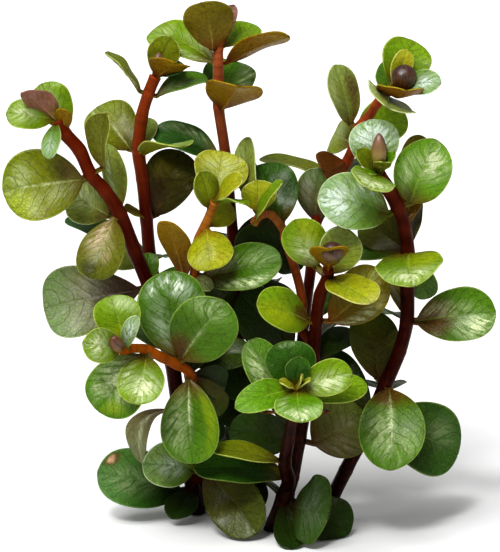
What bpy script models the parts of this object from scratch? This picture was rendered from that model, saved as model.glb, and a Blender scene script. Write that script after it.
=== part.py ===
"""A clump of Indian toothcup: ten leafy red shoots, cut off flat where they left the ground.

Every shoot is a stem with its tip and its lesser leaves grown together, and the larger leaves are
pieces of their own. Lengths are in millimetres here and become metres where a mesh is made. X runs
to the right and Z up, the viewer is on the side of negative Y, and the origin is in the middle of
the clump's foot, on the ground.
"""

import math
from typing import NamedTuple

import bmesh
import bpy
from mathutils import Vector

MM = 0.001
LEAF_THICKNESS = 0.4
PETIOLE_WIDTH = 1.0
TIP_WIDTH_SHARE = 0.3
FULLNESS = 1.15
LARGE_LEAF_ROWS = (0, 0.2, 0.45, 0.7, 0.9, 1)
LESSER_LEAF_ROWS = (0, 0.25, 0.6, 0.88, 1)
BACK_LEAF_ROWS = (0, 0.3, 0.75, 1)
LARGE_LEAF_COLUMNS = 2
LESSER_LEAF_COLUMNS = 1
BELOW_GROUND = 2.0
SOIL_SIZE = 80.0
SOIL_DEPTH = 12.0
STEM_BEVEL_RESOLUTION = 2
SAME_POINT = 0.01
BUD_SEGMENTS = 7
BUD_RINGS = 4
FLAT_ENOUGH = math.radians(5)

TONES = {
    "yellow": (0.50, 0.50, 0.03),
    "lime": (0.32, 0.45, 0.04),
    "green": (0.12, 0.27, 0.03),
    "olive": (0.22, 0.19, 0.02),
    "dark": (0.03, 0.09, 0.02),
    "pale": (0.33, 0.45, 0.25),
}
STEM_RED = (0.16, 0.02, 0.01)


class Leaf(NamedTuple):
    """A leaf on a stem: reach runs from the stem's middle at that node to the leaf's tip.

    faces is the way that its upper side looks. arch bends it along its length and cup across it.
    widest is where along the leaf it is widest, and clear is its distance from the stem.
    """

    name: str
    node: int
    reach: tuple
    width: float
    faces: tuple
    tone: str = "green"
    arch: float = 0.06
    cup: float = 0.15
    widest: float = 0.6
    clear: float = 0.4


class Bud(NamedTuple):
    """The closed tip of a shoot, an egg shape whose middle is given from the origin."""

    middle: tuple
    radius: float
    half_length: float
    points: tuple = (0, 0, 1)


class Shoot(NamedTuple):
    """A stem through its nodes, from the foot up, with the leaves that it carries.

    The back leaves are those that the others hide from the front.
    """

    name: str
    route: tuple
    radii: tuple
    large_leaves: tuple
    lesser_leaves: tuple
    back_leaves: tuple = ()
    bud: Bud = None


def far_left_shoot():
    """Leans left, the large round leaf and the squarish one are its own."""
    return Shoot(
        name="far_left",
        route=(
            (-8, 11, 0), (-8.5, 10, 4), (-9.5, 8, 11.5), (-10.5, 7, 17.5), (-11.5, 5, 25.5),
            (-13, 3, 32), (-14.5, 2, 36.5), (-16.5, 1, 42), (-18.5, 0, 47.5), (-20.5, -1, 51),
            (-22.5, -1.5, 53.5), (-24, -2, 57), (-26, -2.5, 59.5), (-27, -3, 61.5),
        ),
        radii=(1.15, 0.88),
        large_leaves=(
            Leaf("ground", 1, (-14, -3, 3.3), 9, (0, -8, 5), "green", clear=0.8),
            Leaf("grey_arched", 3, (-5.2, -5, -7.3), 4.6, (-7, -6, 5), "olive", arch=0.42),
            Leaf("squarish", 6, (-15, -1, -3), 10.2, (0, -9, 4), "pale", widest=0.72),
            Leaf("wrinkled", 8, (-7, 2.5, 3), 6.5, (-2, -9, 3), "lime", clear=0.9),
            Leaf("drooping", 8, (-4, -5, -8.5), 6.5, (-2, -9, 2), "olive", arch=0.12),
            Leaf("round", 10, (-12.2, -2.5, -1.9), 10.2, (0, -9, 3), "lime"),
            Leaf("cupped", 10, (2.5, -2.5, 9), 5.5, (-7, -6, 3), "lime", cup=0.4, clear=1.2),
            Leaf("top_back", 12, (-3.5, 3, 6.5), 5.5, (3, -9, 3), "lime", clear=0.9),
        ),
        lesser_leaves=(
            Leaf("shaded", 4, (12, -3, 1), 5.5, (0, -7, 6), "dark"),
            Leaf("narrow", 8, (-2, 3, 9.5), 4, (6, -8, 2), "pale"),
            Leaf("dark", 7, (-10, 6, 3.5), 4.5, (0, -3, 9), "green"),
            Leaf("brown", 12, (-0.3, -2.3, 3.8), 2.2, (2, 9, 2), "olive"),
            Leaf("top_left", 13, (-7, -1, 1), 4.5, (1, -8, 5), "lime"),
            Leaf("folded", 13, (-4.7, -3, 4.2), 4, (2, 8, 3), "olive", widest=0.4),
            Leaf("hanging", 13, (-1, -3, -5), 2.8, (-3, -7, 5), "pale"),
        ),
        back_leaves=(
            Leaf("back_low", 1, (-5, 9, 2), 4.5, (0, 3, 9), "dark"),
            Leaf("low_dark", 1, (-3, -6, -2.8), 4.5, (0, -6, 7), "dark"),
            Leaf("back_right", 3, (6, -1.8, 4), 4.5, (0, -3, 9), "dark"),
            Leaf("back_left", 4, (-7.5, 7.5, -4), 5, (-2, 5, 8), "dark"),
            Leaf("back_high", 6, (7, 8, 1), 5, (0, 3, 9), "green"),
        ),
    )


def mid_left_shoot():
    """Stands behind the far left one."""
    return Shoot(
        name="mid_left",
        route=(
            (-5.5, 13, 0), (-7.5, 12, 6.5), (-10, 11, 16), (-12, 10, 25), (-13.5, 9, 33),
            (-14.5, 8, 39), (-15, 7, 45.5), (-15.5, 6.5, 51.5), (-16, 6, 55.5), (-15.5, 5.5, 60.5),
            (-14.5, 5, 64), (-13.5, 5, 66.5),
        ),
        radii=(1.1, 0.82),
        large_leaves=(
            Leaf("dark_olive", 6, (5, 5, 9), 7.5, (0, -9, 2), "dark", clear=0.9),
            Leaf("back", 8, (-6.2, 5, 5.6), 7.5, (2, -9, 3), "lime", clear=0.7),
            Leaf("flat", 8, (6.5, -8, 2), 7.5, (0, 0, 9), "lime"),
            Leaf("wing_left", 10, (-6, -1, 6), 5.5, (6, -1, 7), "green"),
            Leaf("wing_right", 10, (8.5, 0.5, 2), 4.5, (-2, -4, 8), "green", arch=0.15),
            Leaf("top_back", 11, (2.2, 1.7, 5.4), 4.6, (0, -9, 4), "lime", clear=1.3),
        ),
        lesser_leaves=(
            Leaf("pale", 5, (-5.5, 3, 1), 5, (0, -9, 3), "pale"),
            Leaf("top_front", 11, (3.3, -4.5, 2.4), 6, (-1, 6, 6), "olive", cup=0.2),
        ),
        back_leaves=(
            Leaf("low_right", 1, (3, 9, 4), 6, (0, 3, 9), "dark"),
            Leaf("low_left", 1, (-5, 7, 2), 5, (-2, 5, 8), "dark"),
            Leaf("low_front", 1, (5.5, -4, -3.5), 4.5, (0, -7, 6), "dark"),
            Leaf("back_left", 3, (-6, 7, 3), 6, (0, -3, 9), "green"),
            Leaf("back_right", 3, (3, 9, 3), 6, (0, 3, 9), "dark"),
            Leaf("back_high", 5, (2, 8, -1), 4.5, (0, 3, 9), "green"),
        ),
        bud=Bud((-13, 4.5, 68.5), 0.8, 1.5),
    )


def tall_shoot():
    """The highest, in the middle of the clump and towards its back."""
    return Shoot(
        name="tall",
        route=(
            (1, 7.5, 0), (0.5, 8, 7.5), (-0.5, 8, 18), (-1.5, 8, 25.5), (-2, 8, 31.5),
            (-2.5, 7.5, 43), (-3.5, 7, 54.5), (-4.5, 6, 62), (-4.5, 5.5, 66), (-4.5, 5, 68.5),
            (-4.5, 5, 70.5), (-4, 5, 72.5),
        ),
        radii=(0.9, 0.7),
        large_leaves=(
            Leaf("dark_left", 6, (-10.5, 3, 3.4), 5.2, (0, -6, 8), "green"),
            Leaf("brown_front", 7, (3, -9, 4.2), 8, (1.6, 3, 9), "olive"),
            Leaf("back", 7, (2.5, 7, 5.5), 7.5, (0, -9, 3), "green"),
            Leaf("bright_left", 9, (-9.8, 8.5, 3.3), 6, (1, -9, 6), "lime"),
            Leaf("golden_right", 9, (10, -2, 4), 6.5, (-3, 5, 8), "olive"),
            Leaf("olive_front", 10, (-2.1, -4, 7), 7, (0, 9, 3), "olive", clear=0.6),
        ),
        lesser_leaves=(
            Leaf("shaded_left", 4, (-4.5, -3, 4), 6, (0, -9, 3), "dark"),
            Leaf("shaded_hanging", 3, (0.3, -4, -6.5), 6, (0, -9, 2), "dark"),
            Leaf("shaded_right", 5, (7.5, -0.5, 0.5), 5, (0, -9, 4), "dark"),
            Leaf("curled", 10, (5.5, 5, 2.5), 4.5, (0, -5, 9), "green"),
        ),
        back_leaves=(
            Leaf("low_left", 1, (-2, 9, 5), 6, (0, 3, 9), "dark"),
            Leaf("low_front", 1, (-0.6, -6, -5), 4.5, (0, -8, 5), "dark"),
            Leaf("shaded_low", 2, (-4, -4, -2), 6, (0, -8, 4), "dark"),
            Leaf("low_right", 1, (5, 8, 6), 5, (0, 3, 9), "dark"),
            Leaf("back_left", 2, (-5, 9, 3), 6, (0, 3, 9), "dark"),
            Leaf("back_right", 2, (7, 6, 4), 6, (0, 3, 9), "dark"),
            Leaf("mid_back_right", 4, (6, 8, 3), 6, (0, 3, 9), "green"),
            Leaf("mid_back_left", 5, (-3, 8, -3), 5, (0, 5, 8), "green"),
            Leaf("high_back", 6, (3, 8, -5), 5, (0, 5, 8), "green"),
        ),
    )


def centre_left_shoot():
    """Branches from the mid left stem and ends in a yellow tip."""
    return Shoot(
        name="centre_left",
        route=(
            (-8.5, 10, 18.5), (-9, 8.5, 22), (-9, 6, 29), (-8, 3, 38), (-7.5, 1.5, 43),
            (-6.5, 1, 45.5), (-5.5, 0, 48), (-5, -1, 49.5),
        ),
        radii=(0.75, 0.6),
        large_leaves=(
            Leaf("olive_back", 3, (-4, -6, 9), 4.5, (3, 9, 3), "olive", clear=0.9),
            Leaf("long_right", 3, (12.5, -5, 3), 7, (0, -8, 5), "green", clear=0.6),
            Leaf("heart", 5, (1.2, -5, -5.2), 6.5, (-1, -9, 3), "yellow", arch=0.12),
            Leaf("top_yellow", 7, (1, 4, 6.5), 7.8, (1, -9, 2), "yellow"),
        ),
        lesser_leaves=(
            Leaf("yellow_behind", 5, (4, 4, 2), 3.5, (1, -9, 2), "yellow"),
            Leaf("inner_left", 6, (-1.6, -2.5, 6), 3.8, (3, -9, 2), "yellow"),
            Leaf("inner_right", 7, (4, -4, 4), 3.5, (-6, -5, 6), "yellow"),
            Leaf("tip_flat", 7, (4.5, -5, 0.5), 3, (0, 2, 9), "lime"),
        ),
    )


def arching_shoot():
    """Branches from the round-bud stem and nods over to the left."""
    return Shoot(
        name="arching",
        route=(
            (7.5, 1.5, 30.5), (7.5, 2, 34.5), (6.5, 1.5, 39), (5, 1, 43.5), (4.5, 0.5, 45.5),
            (3, -0.5, 47.5), (1.5, -1, 47.5), (0.5, -2, 46.5),
        ),
        radii=(0.7, 0.55),
        large_leaves=(
            Leaf("dark_green", 4, (-3, 6, 8), 7.5, (2, -9, 2), "green"),
            Leaf("veined", 6, (-2, 7, 10), 3.5, (-5, -8, 2), "pale", cup=0.3),
        ),
        lesser_leaves=(
            Leaf("thin_dark", 1, (-5.5, -4, 3), 4, (3, -2, 9), "dark"),
            Leaf("hanging", 5, (-2.2, 5.5, -7), 7, (0, -9, 0), "dark"),
            Leaf("tip_round", 6, (-0.5, 0, 5), 5, (1, -9, 2), "yellow"),
            Leaf("tip_edge", 7, (4, -3, 6.5), 3.5, (-7, -3, 5), "lime"),
        ),
    )


def front_left_shoot():
    """Branches low from the far left stem and comes forward to a rosette."""
    return Shoot(
        name="front_left",
        route=(
            (-7, 7.5, 7), (-7, 6, 8.5), (-7, 3, 13.5), (-7.5, -1, 19.5), (-8.5, -4, 25),
            (-10.5, -6, 27), (-12.5, -8, 28.5), (-14.5, -9.5, 30), (-16.5, -11, 30.5),
            (-17.5, -12, 30.5), (-18.5, -13, 31),
        ),
        radii=(0.8, 0.6),
        large_leaves=(
            Leaf("pale_squarish", 1, (-8.5, -7, 2.5), 6.5, (-1, -9, 3), "pale", clear=0.7),
            Leaf("to_ground", 1, (8, -9, -7.4), 8, (-2, -8, 4), "dark"),
            Leaf("hanging", 4, (0.5, -4, -12), 8.2, (0, -9, 1), "green"),
            Leaf("glossy", 5, (-1, 2, 13), 9.8, (0, -9, 3), "green"),
            Leaf("round_right", 5, (7, -4, 10), 9.2, (1, -9, 2), "green"),
            Leaf("glare", 7, (-1.5, -5.5, -6.5), 6.5, (0, -8, 5), "lime"),
            Leaf("low_left", 7, (-7, -1, -8.5), 8.5, (-1, -9, 3), "green"),
            Leaf("upper", 9, (-2, 3, 7), 6.5, (1, -9, 3), "lime"),
        ),
        lesser_leaves=(
            Leaf("left", 9, (-5.5, -4, 2), 4.8, (0, -9, 3), "lime"),
        ),
        back_leaves=(
            Leaf("behind", 4, (2, 6.5, 4), 6, (0, 3, 9), "dark"),
        ),
        bud=Bud((-18.5, -14.5, 32), 1.0, 1.5, (-1, -2, 3)),
    )


def round_bud_shoot():
    """Stands right of the middle, with low leaves that reach the ground."""
    return Shoot(
        name="round_bud",
        route=(
            (3.5, 2.5, 0), (5, 1.5, 5), (6, 1, 8.5), (7, 1, 14), (8, 0.5, 20), (9, 0, 26),
            (9.5, 0, 32), (10, -1, 36), (11, -3, 39), (11, -5, 40.5),
        ),
        radii=(1.3, 0.75),
        large_leaves=(
            Leaf("fan", 1, (6.4, -8, 0.2), 10, (1, -9, 3), "green", widest=0.7, clear=1.2),
            Leaf("on_ground", 1, (9.5, -2, -4.5), 7.5, (0, -7, 7), "dark", clear=1.1),
            Leaf("dark_right", 3, (9.4, -2, 4.6), 9.4, (0, -9, 2), "dark", clear=1.1),
            Leaf("yellow_left", 6, (-8.5, -6.2, 3.8), 6.5, (0, -8, 5), "lime"),
            Leaf("olive_right", 6, (9.5, 0, 7), 7.5, (0, -9, 3), "olive", clear=1.1),
            Leaf("big_left", 8, (-4.8, 0.8, 8), 6.2, (0, -9, 2), "lime", clear=1.5),
        ),
        lesser_leaves=(
            Leaf("ground_front", 1, (1, -8.5, -5), 4.5, (0, -6, 7), "dark", arch=-0.12),
            Leaf("dark_left", 3, (-10, -2, 2), 6.5, (0, -9, 3), "dark"),
            Leaf("low_left", 2, (-14, -5, 2.5), 6, (0, -6, 8), "green"),
            Leaf("small_dark", 5, (6, 6, 3), 4, (0, -6, 7), "dark"),
            Leaf("top_right", 8, (2.9, 0, 6.8), 6, (0, -9, 2), "lime"),
            Leaf("yellow_edge", 8, (6, -8, -2), 6.5, (0, -4, 9), "yellow"),
            Leaf("front_cup", 9, (0, -5, 4), 5.5, (0, 6, 6), "olive", cup=0.3),
        ),
        back_leaves=(
            Leaf("back_low", 1, (-5.5, 3.5, 3), 4, (0, 3, 9), "dark"),
            Leaf("back_high", 6, (4, 9, 3), 5, (0, 3, 9), "green"),
        ),
        bud=Bud((11.5, -8, 43.5), 1.6, 1.6),
    )


def front_rosette_shoot():
    """Branches from the round-bud stem near the ground and leans towards the viewer."""
    return Shoot(
        name="front_rosette",
        route=(
            (5.5, -1.5, 9), (5, -4, 12), (5.5, -8, 16.5), (6, -11, 20.5), (6.5, -14, 24),
            (6.5, -16, 26),
        ),
        radii=(1.0, 0.7),
        large_leaves=(
            Leaf("back", 4, (-1.5, 3, 7.5), 7, (0, -9, 2), "green", clear=0.8),
        ),
        lesser_leaves=(
            Leaf("narrow_left", 1, (-10.5, -2, 2.5), 4, (0, -4, 9), "green"),
            Leaf("under_right", 3, (4.5, -5, 2), 4, (0, 3, 9), "olive"),
            Leaf("under_left", 3, (-4, -5, 2), 4, (0, 3, 9), "olive"),
            Leaf("back_left", 3, (-6, 3, 10.5), 5.5, (1, -9, 2), "green"),
            Leaf("low_right", 4, (9.8, 2, 1.4), 4.5, (0, -7, 7), "lime"),
            Leaf("right", 5, (7.5, -1, 2.6), 5, (0, -9, 4), "lime"),
            Leaf("left", 5, (-8.5, -3, -2), 4.6, (0, -8, 6), "lime", widest=0.5),
            Leaf("front", 5, (0.5, -5, -3.5), 6.6, (0, -8, 6), "pale"),
        ),
        bud=Bud((6.5, -17.5, 27.5), 0.9, 1.4, (0, -2, 3)),
    )


def right_shoot():
    """The thickest stem, on the right, with the two widest pairs."""
    return Shoot(
        name="right",
        route=(
            (11, 7, 0), (12, 6, 3.5), (14, 4, 8.5), (15.5, 3, 12), (17.5, 1.5, 17), (19.5, 0, 22.5),
            (21.5, 0, 27.5), (22.5, 0, 32), (22.5, 0, 37), (22.5, 0, 42), (22, -0.5, 45.5),
            (21, -1, 48.5), (19.5, -2, 51.5), (18, -4, 54),
        ),
        radii=(1.05, 0.95),
        large_leaves=(
            Leaf("behind_low", 4, (12.8, 2.5, -6.2), 10.4, (0, -9, 4), "dark"),
            Leaf("hanging", 5, (0.5, -8, -10.5), 9.4, (0, -9, 1), "green", arch=0.12, widest=0.57),
            Leaf("upright", 5, (-2.4, 5, 9.6), 7, (1, -9, 1), "dark", clear=0.7),
            Leaf("long_right", 7, (12.5, -2, 1.6), 7.8, (0, -9, 4), "green"),
            Leaf("yellow_front", 9, (0.3, -8, -3.3), 9.6, (-1, -6, 8), "lime", widest=0.48),
            Leaf("big_right", 11, (5, -1, 10.1), 8, (1, -9, 2), "green", widest=0.54, clear=0.9),
            Leaf("big_left", 11, (-11.5, -5, 2.5), 8, (0, -9, 4), "pale", clear=0.7),
        ),
        lesser_leaves=(
            Leaf("dark_blue", 4, (-7, 5.5, 8.5), 6, (0, -8, 6), "dark"),
            Leaf("olive_narrow", 7, (-2.5, 4, 5), 4, (7, -7, 0), "olive"),
            Leaf("left_behind", 9, (-9, 5, -1.5), 5.5, (0, -6, 8), "green"),
            Leaf("dark_left", 9, (-6, 7, 3.5), 6, (0, -9, 2), "dark"),
            Leaf("narrow_right", 9, (1.5, 7, 5.5), 4.5, (-5, -8, 0), "olive"),
            Leaf("small_low", 9, (3.5, 4, -7.5), 4, (0, -9, 0), "green"),
            Leaf("olive_behind", 10, (2.5, 8.5, 12), 5, (0, -8, 5), "olive"),
            Leaf("top_back", 13, (-1, 1, 7.5), 7, (0, -9, 2), "pale"),
            Leaf("crescent", 13, (-2, -6.2, -0.9), 6.4, (1, -7, 7), "lime"),
        ),
        back_leaves=(
            Leaf("back_low", 5, (1, 9, -3), 6, (0, 5, 8), "dark"),
            Leaf("back_mid", 7, (-3, 9, -1), 5, (0, 5, 8), "green"),
        ),
        bud=Bud((18, -5.5, 57.5), 1.1, 2.3),
    )


def thin_right_shoot():
    """Rises at the back and crosses behind the right one's tip."""
    return Shoot(
        name="thin_right",
        route=(
            (5.5, 9, 0), (6.5, 9, 12), (7.5, 9, 25.5), (9, 8, 39), (9.5, 8, 44.5), (11.5, 7.5, 48),
            (12.5, 7, 51), (14, 6.5, 54), (15, 6, 56.5), (15.5, 5, 59), (17, 4, 61), (18, 2, 63),
            (19, 1, 64.5), (20, -1, 65.5),
        ),
        radii=(0.85, 0.65),
        large_leaves=(
            Leaf("large_dark", 2, (-9, -3, 9), 8, (1, -9, 2), "dark", clear=0.7),
            Leaf("upright", 9, (-3.6, -1, 9.2), 5, (4, -8, 2), "lime", clear=0.6),
        ),
        lesser_leaves=(
            Leaf("pale", 4, (0.6, -2, 8.6), 5.8, (-3, -9, 1), "pale"),
            Leaf("edge_on", 6, (-11, 5, 2.4), 5, (0, -0.5, 9), "olive"),
            Leaf("brown", 7, (-3.6, -4, -0.7), 5.8, (0, 9, -3), "olive"),
            Leaf("bright", 8, (7, 4, 4.5), 6.5, (0, -9, 3), "lime"),
            Leaf("pale_behind", 8, (-2.6, 5.5, 0.8), 5.5, (2, -9, 0), "pale"),
            Leaf("slanting", 12, (0, -9, -0.5), 8, (5, -4, 7), "lime"),
            Leaf("top_back", 13, (3.1, 4, 6.3), 7, (0, -9, 2), "lime"),
            Leaf("inner", 13, (2, 0.5, 5.5), 3, (3, -9, 1), "yellow"),
            Leaf("tip_right", 13, (6.5, -4, 1.5), 4, (-1, -8, 6), "pale"),
            Leaf("front_cup", 13, (1.5, -8, 1), 6.5, (0, 4, 9), "olive", arch=-0.12, cup=0.35),
        ),
        back_leaves=(
            Leaf("low_back", 1, (-2, 8, 5), 5, (0, 3, 9), "dark"),
            Leaf("back_right", 2, (7, 7, 3), 6, (0, 3, 9), "dark"),
            Leaf("mid_right", 3, (6, 7, 4), 5.5, (0, 3, 9), "green"),
            Leaf("mid_left", 3, (-6, 7, 3), 5.5, (0, 3, 9), "green"),
            Leaf("high_right", 6, (7, 6, 3), 5.5, (0, 3, 9), "green"),
            Leaf("high_back", 12, (2.5, 7, 4), 5, (0, 3, 9), "green"),
        ),
        bud=Bud((21.5, -3, 67.5), 1.8, 1.8),
    )


def clear_scene():
    """Removes whatever the scene holds."""
    for thing in list(bpy.data.objects):
        bpy.data.objects.remove(thing)


def collection(name):
    """A new collection in the scene."""
    made = bpy.data.collections.new(name)
    bpy.context.scene.collection.children.link(made)
    return made


def material(name, colour, roughness=0.35):
    """A plain surface of one colour."""
    made = bpy.data.materials.new(name)
    made.use_nodes = True
    surface = made.node_tree.nodes["Principled BSDF"]
    surface.inputs["Base Color"].default_value = (*colour, 1.0)
    surface.inputs["Roughness"].default_value = roughness
    surface.inputs["Metallic"].default_value = 0.0
    return made


def mesh_object(name, form, place, where, parent):
    """An object from a bmesh, set at a place in millimetres, in a collection."""
    mesh = bpy.data.meshes.new(name)
    bmesh.ops.recalc_face_normals(form, faces=form.faces)
    form.to_mesh(mesh)
    form.free()
    mesh.shade_smooth()
    made = bpy.data.objects.new(name, mesh)
    made.location = place * MM
    made.parent = parent
    where.objects.link(made)
    return made


def width_share(share, widest):
    """The width of a leaf at this share of its length, where 1 is its full width."""
    rise = (share / widest) ** (FULLNESS * widest)
    fall = ((1 - share) / (1 - widest)) ** (FULLNESS * (1 - widest))
    return rise * fall


def leaf_form(leaf, start, tip, rows, columns):
    """The open middle surface of a leaf, in metres from its start."""
    along = tip - start
    normal = Vector(leaf.faces).normalized()
    side = along.cross(normal).normalized()
    normal = side.cross(along).normalized()
    form = bmesh.new()
    bmesh.ops.create_grid(form, x_segments=columns, y_segments=len(rows) - 1, size=1)
    steps = len(rows) - 1
    for vert in form.verts:
        row = round((vert.co.y + 1) / 2 * steps)
        across = vert.co.x
        share = rows[row]
        half = leaf.width / 2 * max(width_share(share, leaf.widest), TIP_WIDTH_SHARE)
        if row == 0:
            half = PETIOLE_WIDTH / 2
        lift = leaf.arch * along.length * 4 * share * (1 - share) + leaf.cup * half * across**2
        point = start + along * share + side * across * half + normal * lift
        point.z = max(point.z, LEAF_THICKNESS / 2)
        vert.co = (point - start) * MM
    return form


def thicken(leaf_object):
    """Gives an open leaf surface its thickness, half to each side."""
    solid = leaf_object.modifiers.new("Thickness", "SOLIDIFY")
    solid.thickness = LEAF_THICKNESS * MM
    solid.offset = 0.0


def radius_at(shoot, node):
    """How thick the stem is at a node, half across."""
    foot_radius, tip_radius = shoot.radii
    return foot_radius + (tip_radius - foot_radius) * node / (len(shoot.route) - 1)


def large_leaf(shoot, leaf, parts, plant):
    """A leaf that is a piece of its own, just clear of its stem."""
    node = Vector(shoot.route[leaf.node])
    following = shoot.route[min(leaf.node + 1, len(shoot.route) - 1)]
    before = shoot.route[leaf.node - 1]
    growth = (Vector(following) - Vector(before)).normalized()
    reach = Vector(leaf.reach)
    outward = (reach - growth * reach.dot(growth)).normalized()
    start = node + outward * (radius_at(shoot, leaf.node) + leaf.clear)
    name = f"leaf_{shoot.name}_{leaf.name}"
    form = leaf_form(leaf, start, node + reach, LARGE_LEAF_ROWS, LARGE_LEAF_COLUMNS)
    made = mesh_object(name, form, start, parts, plant)
    thicken(made)
    made.data.materials.append(material(name, TONES[leaf.tone]))
    return made


def lesser_leaf(shoot, leaf, rows, helpers, plant):
    """A leaf that is grown together with its stem: it starts inside it."""
    node = Vector(shoot.route[leaf.node])
    tip = node + Vector(leaf.reach)
    form = leaf_form(leaf, node, tip, rows, LESSER_LEAF_COLUMNS)
    made = mesh_object(f"{shoot.name}_{leaf.name}_form", form, node, helpers, plant)
    thicken(made)
    return as_helper(made)


def as_helper(thing):
    """Marks an object as one that only shapes another."""
    thing.hide_render = True
    thing.display_type = "WIRE"
    return thing


def bud_form(shoot, helpers, plant):
    """The closed tip, an egg shape along the way that it points."""
    form = bmesh.new()
    bmesh.ops.create_uvsphere(form, u_segments=BUD_SEGMENTS, v_segments=BUD_RINGS, radius=1)
    turn = Vector((0, 0, 1)).rotation_difference(Vector(shoot.bud.points)).to_matrix()
    for vert in form.verts:
        flat = Vector((vert.co.x, vert.co.y, 0)) * shoot.bud.radius
        vert.co = turn @ (flat + Vector((0, 0, vert.co.z * shoot.bud.half_length))) * MM
    middle = Vector(shoot.bud.middle)
    return as_helper(mesh_object(f"{shoot.name}_bud_form", form, middle, helpers, plant))


def stem_tube(shoot, parts, plant, from_ground):
    """The stem as a closed tube that tapers to its tip."""
    route = [Vector(point) for point in shoot.route]
    radii = [radius_at(shoot, node) for node in range(len(route))]
    if from_ground:
        below = route[0] - (route[1] - route[0]).normalized() * BELOW_GROUND
        route.insert(0, below)
        radii.insert(0, radii[0])
    if shoot.bud:
        route.append(Vector(shoot.bud.middle))
        radii.append(radii[-1])
    curve = bpy.data.curves.new(f"{shoot.name}_route", "CURVE")
    curve.dimensions = "3D"
    curve.bevel_depth = MM
    curve.bevel_resolution = STEM_BEVEL_RESOLUTION
    curve.use_fill_caps = True
    line = curve.splines.new("POLY")
    line.points.add(len(route) - 1)
    for number, point in enumerate(route):
        line.points[number].co = (*(point * MM), 1)
        line.points[number].radius = radii[number]
    guide = bpy.data.objects.new(f"{shoot.name}_route", curve)
    parts.objects.link(guide)
    bpy.context.view_layer.update()
    evaluated = guide.evaluated_get(bpy.context.evaluated_depsgraph_get())
    mesh = bpy.data.meshes.new_from_object(evaluated)
    bpy.data.objects.remove(guide)
    form = bmesh.new()
    form.from_mesh(mesh)
    bmesh.ops.remove_doubles(form, verts=form.verts, dist=SAME_POINT * MM)
    return mesh_object(f"stem_{shoot.name}", form, Vector((0, 0, 0)), parts, plant)


def join_to(stem, form):
    """Makes a leaf or bud one body with the stem."""
    join = stem.modifiers.new(form.name, "BOOLEAN")
    join.operation = "UNION"
    join.object = form


def soil(helpers, plant):
    """What lies under the ground, which cuts the stems off flat."""
    form = bmesh.new()
    bmesh.ops.create_cube(form, size=1)
    size = Vector((SOIL_SIZE, SOIL_SIZE, SOIL_DEPTH)) * MM
    bmesh.ops.scale(form, vec=size, verts=form.verts)
    return as_helper(mesh_object("soil", form, Vector((0, 0, -SOIL_DEPTH / 2)), helpers, plant))


def build_shoot(shoot, parts, helpers, plant, ground):
    """The stem with its tip and lesser leaves as one piece, and its large leaves."""
    from_ground = shoot.route[0][2] == 0
    stem = stem_tube(shoot, parts, plant, from_ground)
    stem.data.materials.append(material(stem.name, STEM_RED))
    for leaf in shoot.lesser_leaves:
        join_to(stem, lesser_leaf(shoot, leaf, LESSER_LEAF_ROWS, helpers, plant))
    for leaf in shoot.back_leaves:
        join_to(stem, lesser_leaf(shoot, leaf, BACK_LEAF_ROWS, helpers, plant))
    if shoot.bud:
        join_to(stem, bud_form(shoot, helpers, plant))
    if from_ground:
        cut = stem.modifiers.new("Cut at the ground", "BOOLEAN")
        cut.operation = "DIFFERENCE"
        cut.object = ground
    tidy = stem.modifiers.new("Fewer flat faces", "DECIMATE")
    tidy.decimate_type = "DISSOLVE"
    tidy.angle_limit = FLAT_ENOUGH
    for leaf in shoot.large_leaves:
        large_leaf(shoot, leaf, parts, plant)


def main():
    """Builds the ten shoots round one origin on the ground."""
    clear_scene()
    parts = collection("indian_toothcup")
    helpers = collection("helpers")
    plant = bpy.data.objects.new("plant", None)
    parts.objects.link(plant)
    ground = soil(helpers, plant)
    shoots = (
        far_left_shoot(), mid_left_shoot(), tall_shoot(), centre_left_shoot(), arching_shoot(),
        front_left_shoot(), round_bud_shoot(), front_rosette_shoot(), right_shoot(),
        thin_right_shoot(),
    )
    for shoot in shoots:
        build_shoot(shoot, parts, helpers, plant, ground)


if __name__ == "__main__":
    main()
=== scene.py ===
"""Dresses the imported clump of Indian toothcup: ten red shoots of glossy leaves, cut at the ground.

Lengths are in millimetres in the tables and become metres where a mesh is made. X runs to the
right and Z up, the viewer is on the side of negative Y, and the origin is at the middle of the
clump's foot, on the ground. The routes and the leaves repeat the values of the part's source,
apart from the cup of three leaves. The small leaves are in this script alone, some of them in
place of the front rosette's bud, and the right shoot's bud is slightly larger than the part's.
"""

import logging
import math
import random
from dataclasses import dataclass, replace
from enum import Enum
from typing import Iterable, Optional, Sequence

import bpy
import numpy as np
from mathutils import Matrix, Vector


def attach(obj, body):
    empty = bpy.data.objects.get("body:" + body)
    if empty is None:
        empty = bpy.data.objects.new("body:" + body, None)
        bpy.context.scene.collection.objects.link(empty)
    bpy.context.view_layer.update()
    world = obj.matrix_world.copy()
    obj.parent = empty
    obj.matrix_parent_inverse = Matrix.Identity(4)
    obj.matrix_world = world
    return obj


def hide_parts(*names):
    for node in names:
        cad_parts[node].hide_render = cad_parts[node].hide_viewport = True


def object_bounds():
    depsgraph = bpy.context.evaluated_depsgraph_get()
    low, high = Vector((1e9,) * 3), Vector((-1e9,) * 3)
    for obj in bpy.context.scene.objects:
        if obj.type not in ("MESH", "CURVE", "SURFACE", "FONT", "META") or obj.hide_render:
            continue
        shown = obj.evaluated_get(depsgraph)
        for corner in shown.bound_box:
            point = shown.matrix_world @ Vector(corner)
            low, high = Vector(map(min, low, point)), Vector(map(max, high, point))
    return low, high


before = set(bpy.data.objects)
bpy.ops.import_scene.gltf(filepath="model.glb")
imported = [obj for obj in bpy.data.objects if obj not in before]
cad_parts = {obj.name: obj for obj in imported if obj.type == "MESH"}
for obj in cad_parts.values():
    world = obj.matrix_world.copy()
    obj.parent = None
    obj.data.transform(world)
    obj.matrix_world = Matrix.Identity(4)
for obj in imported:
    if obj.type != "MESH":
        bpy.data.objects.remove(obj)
CAD_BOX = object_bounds()

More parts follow.
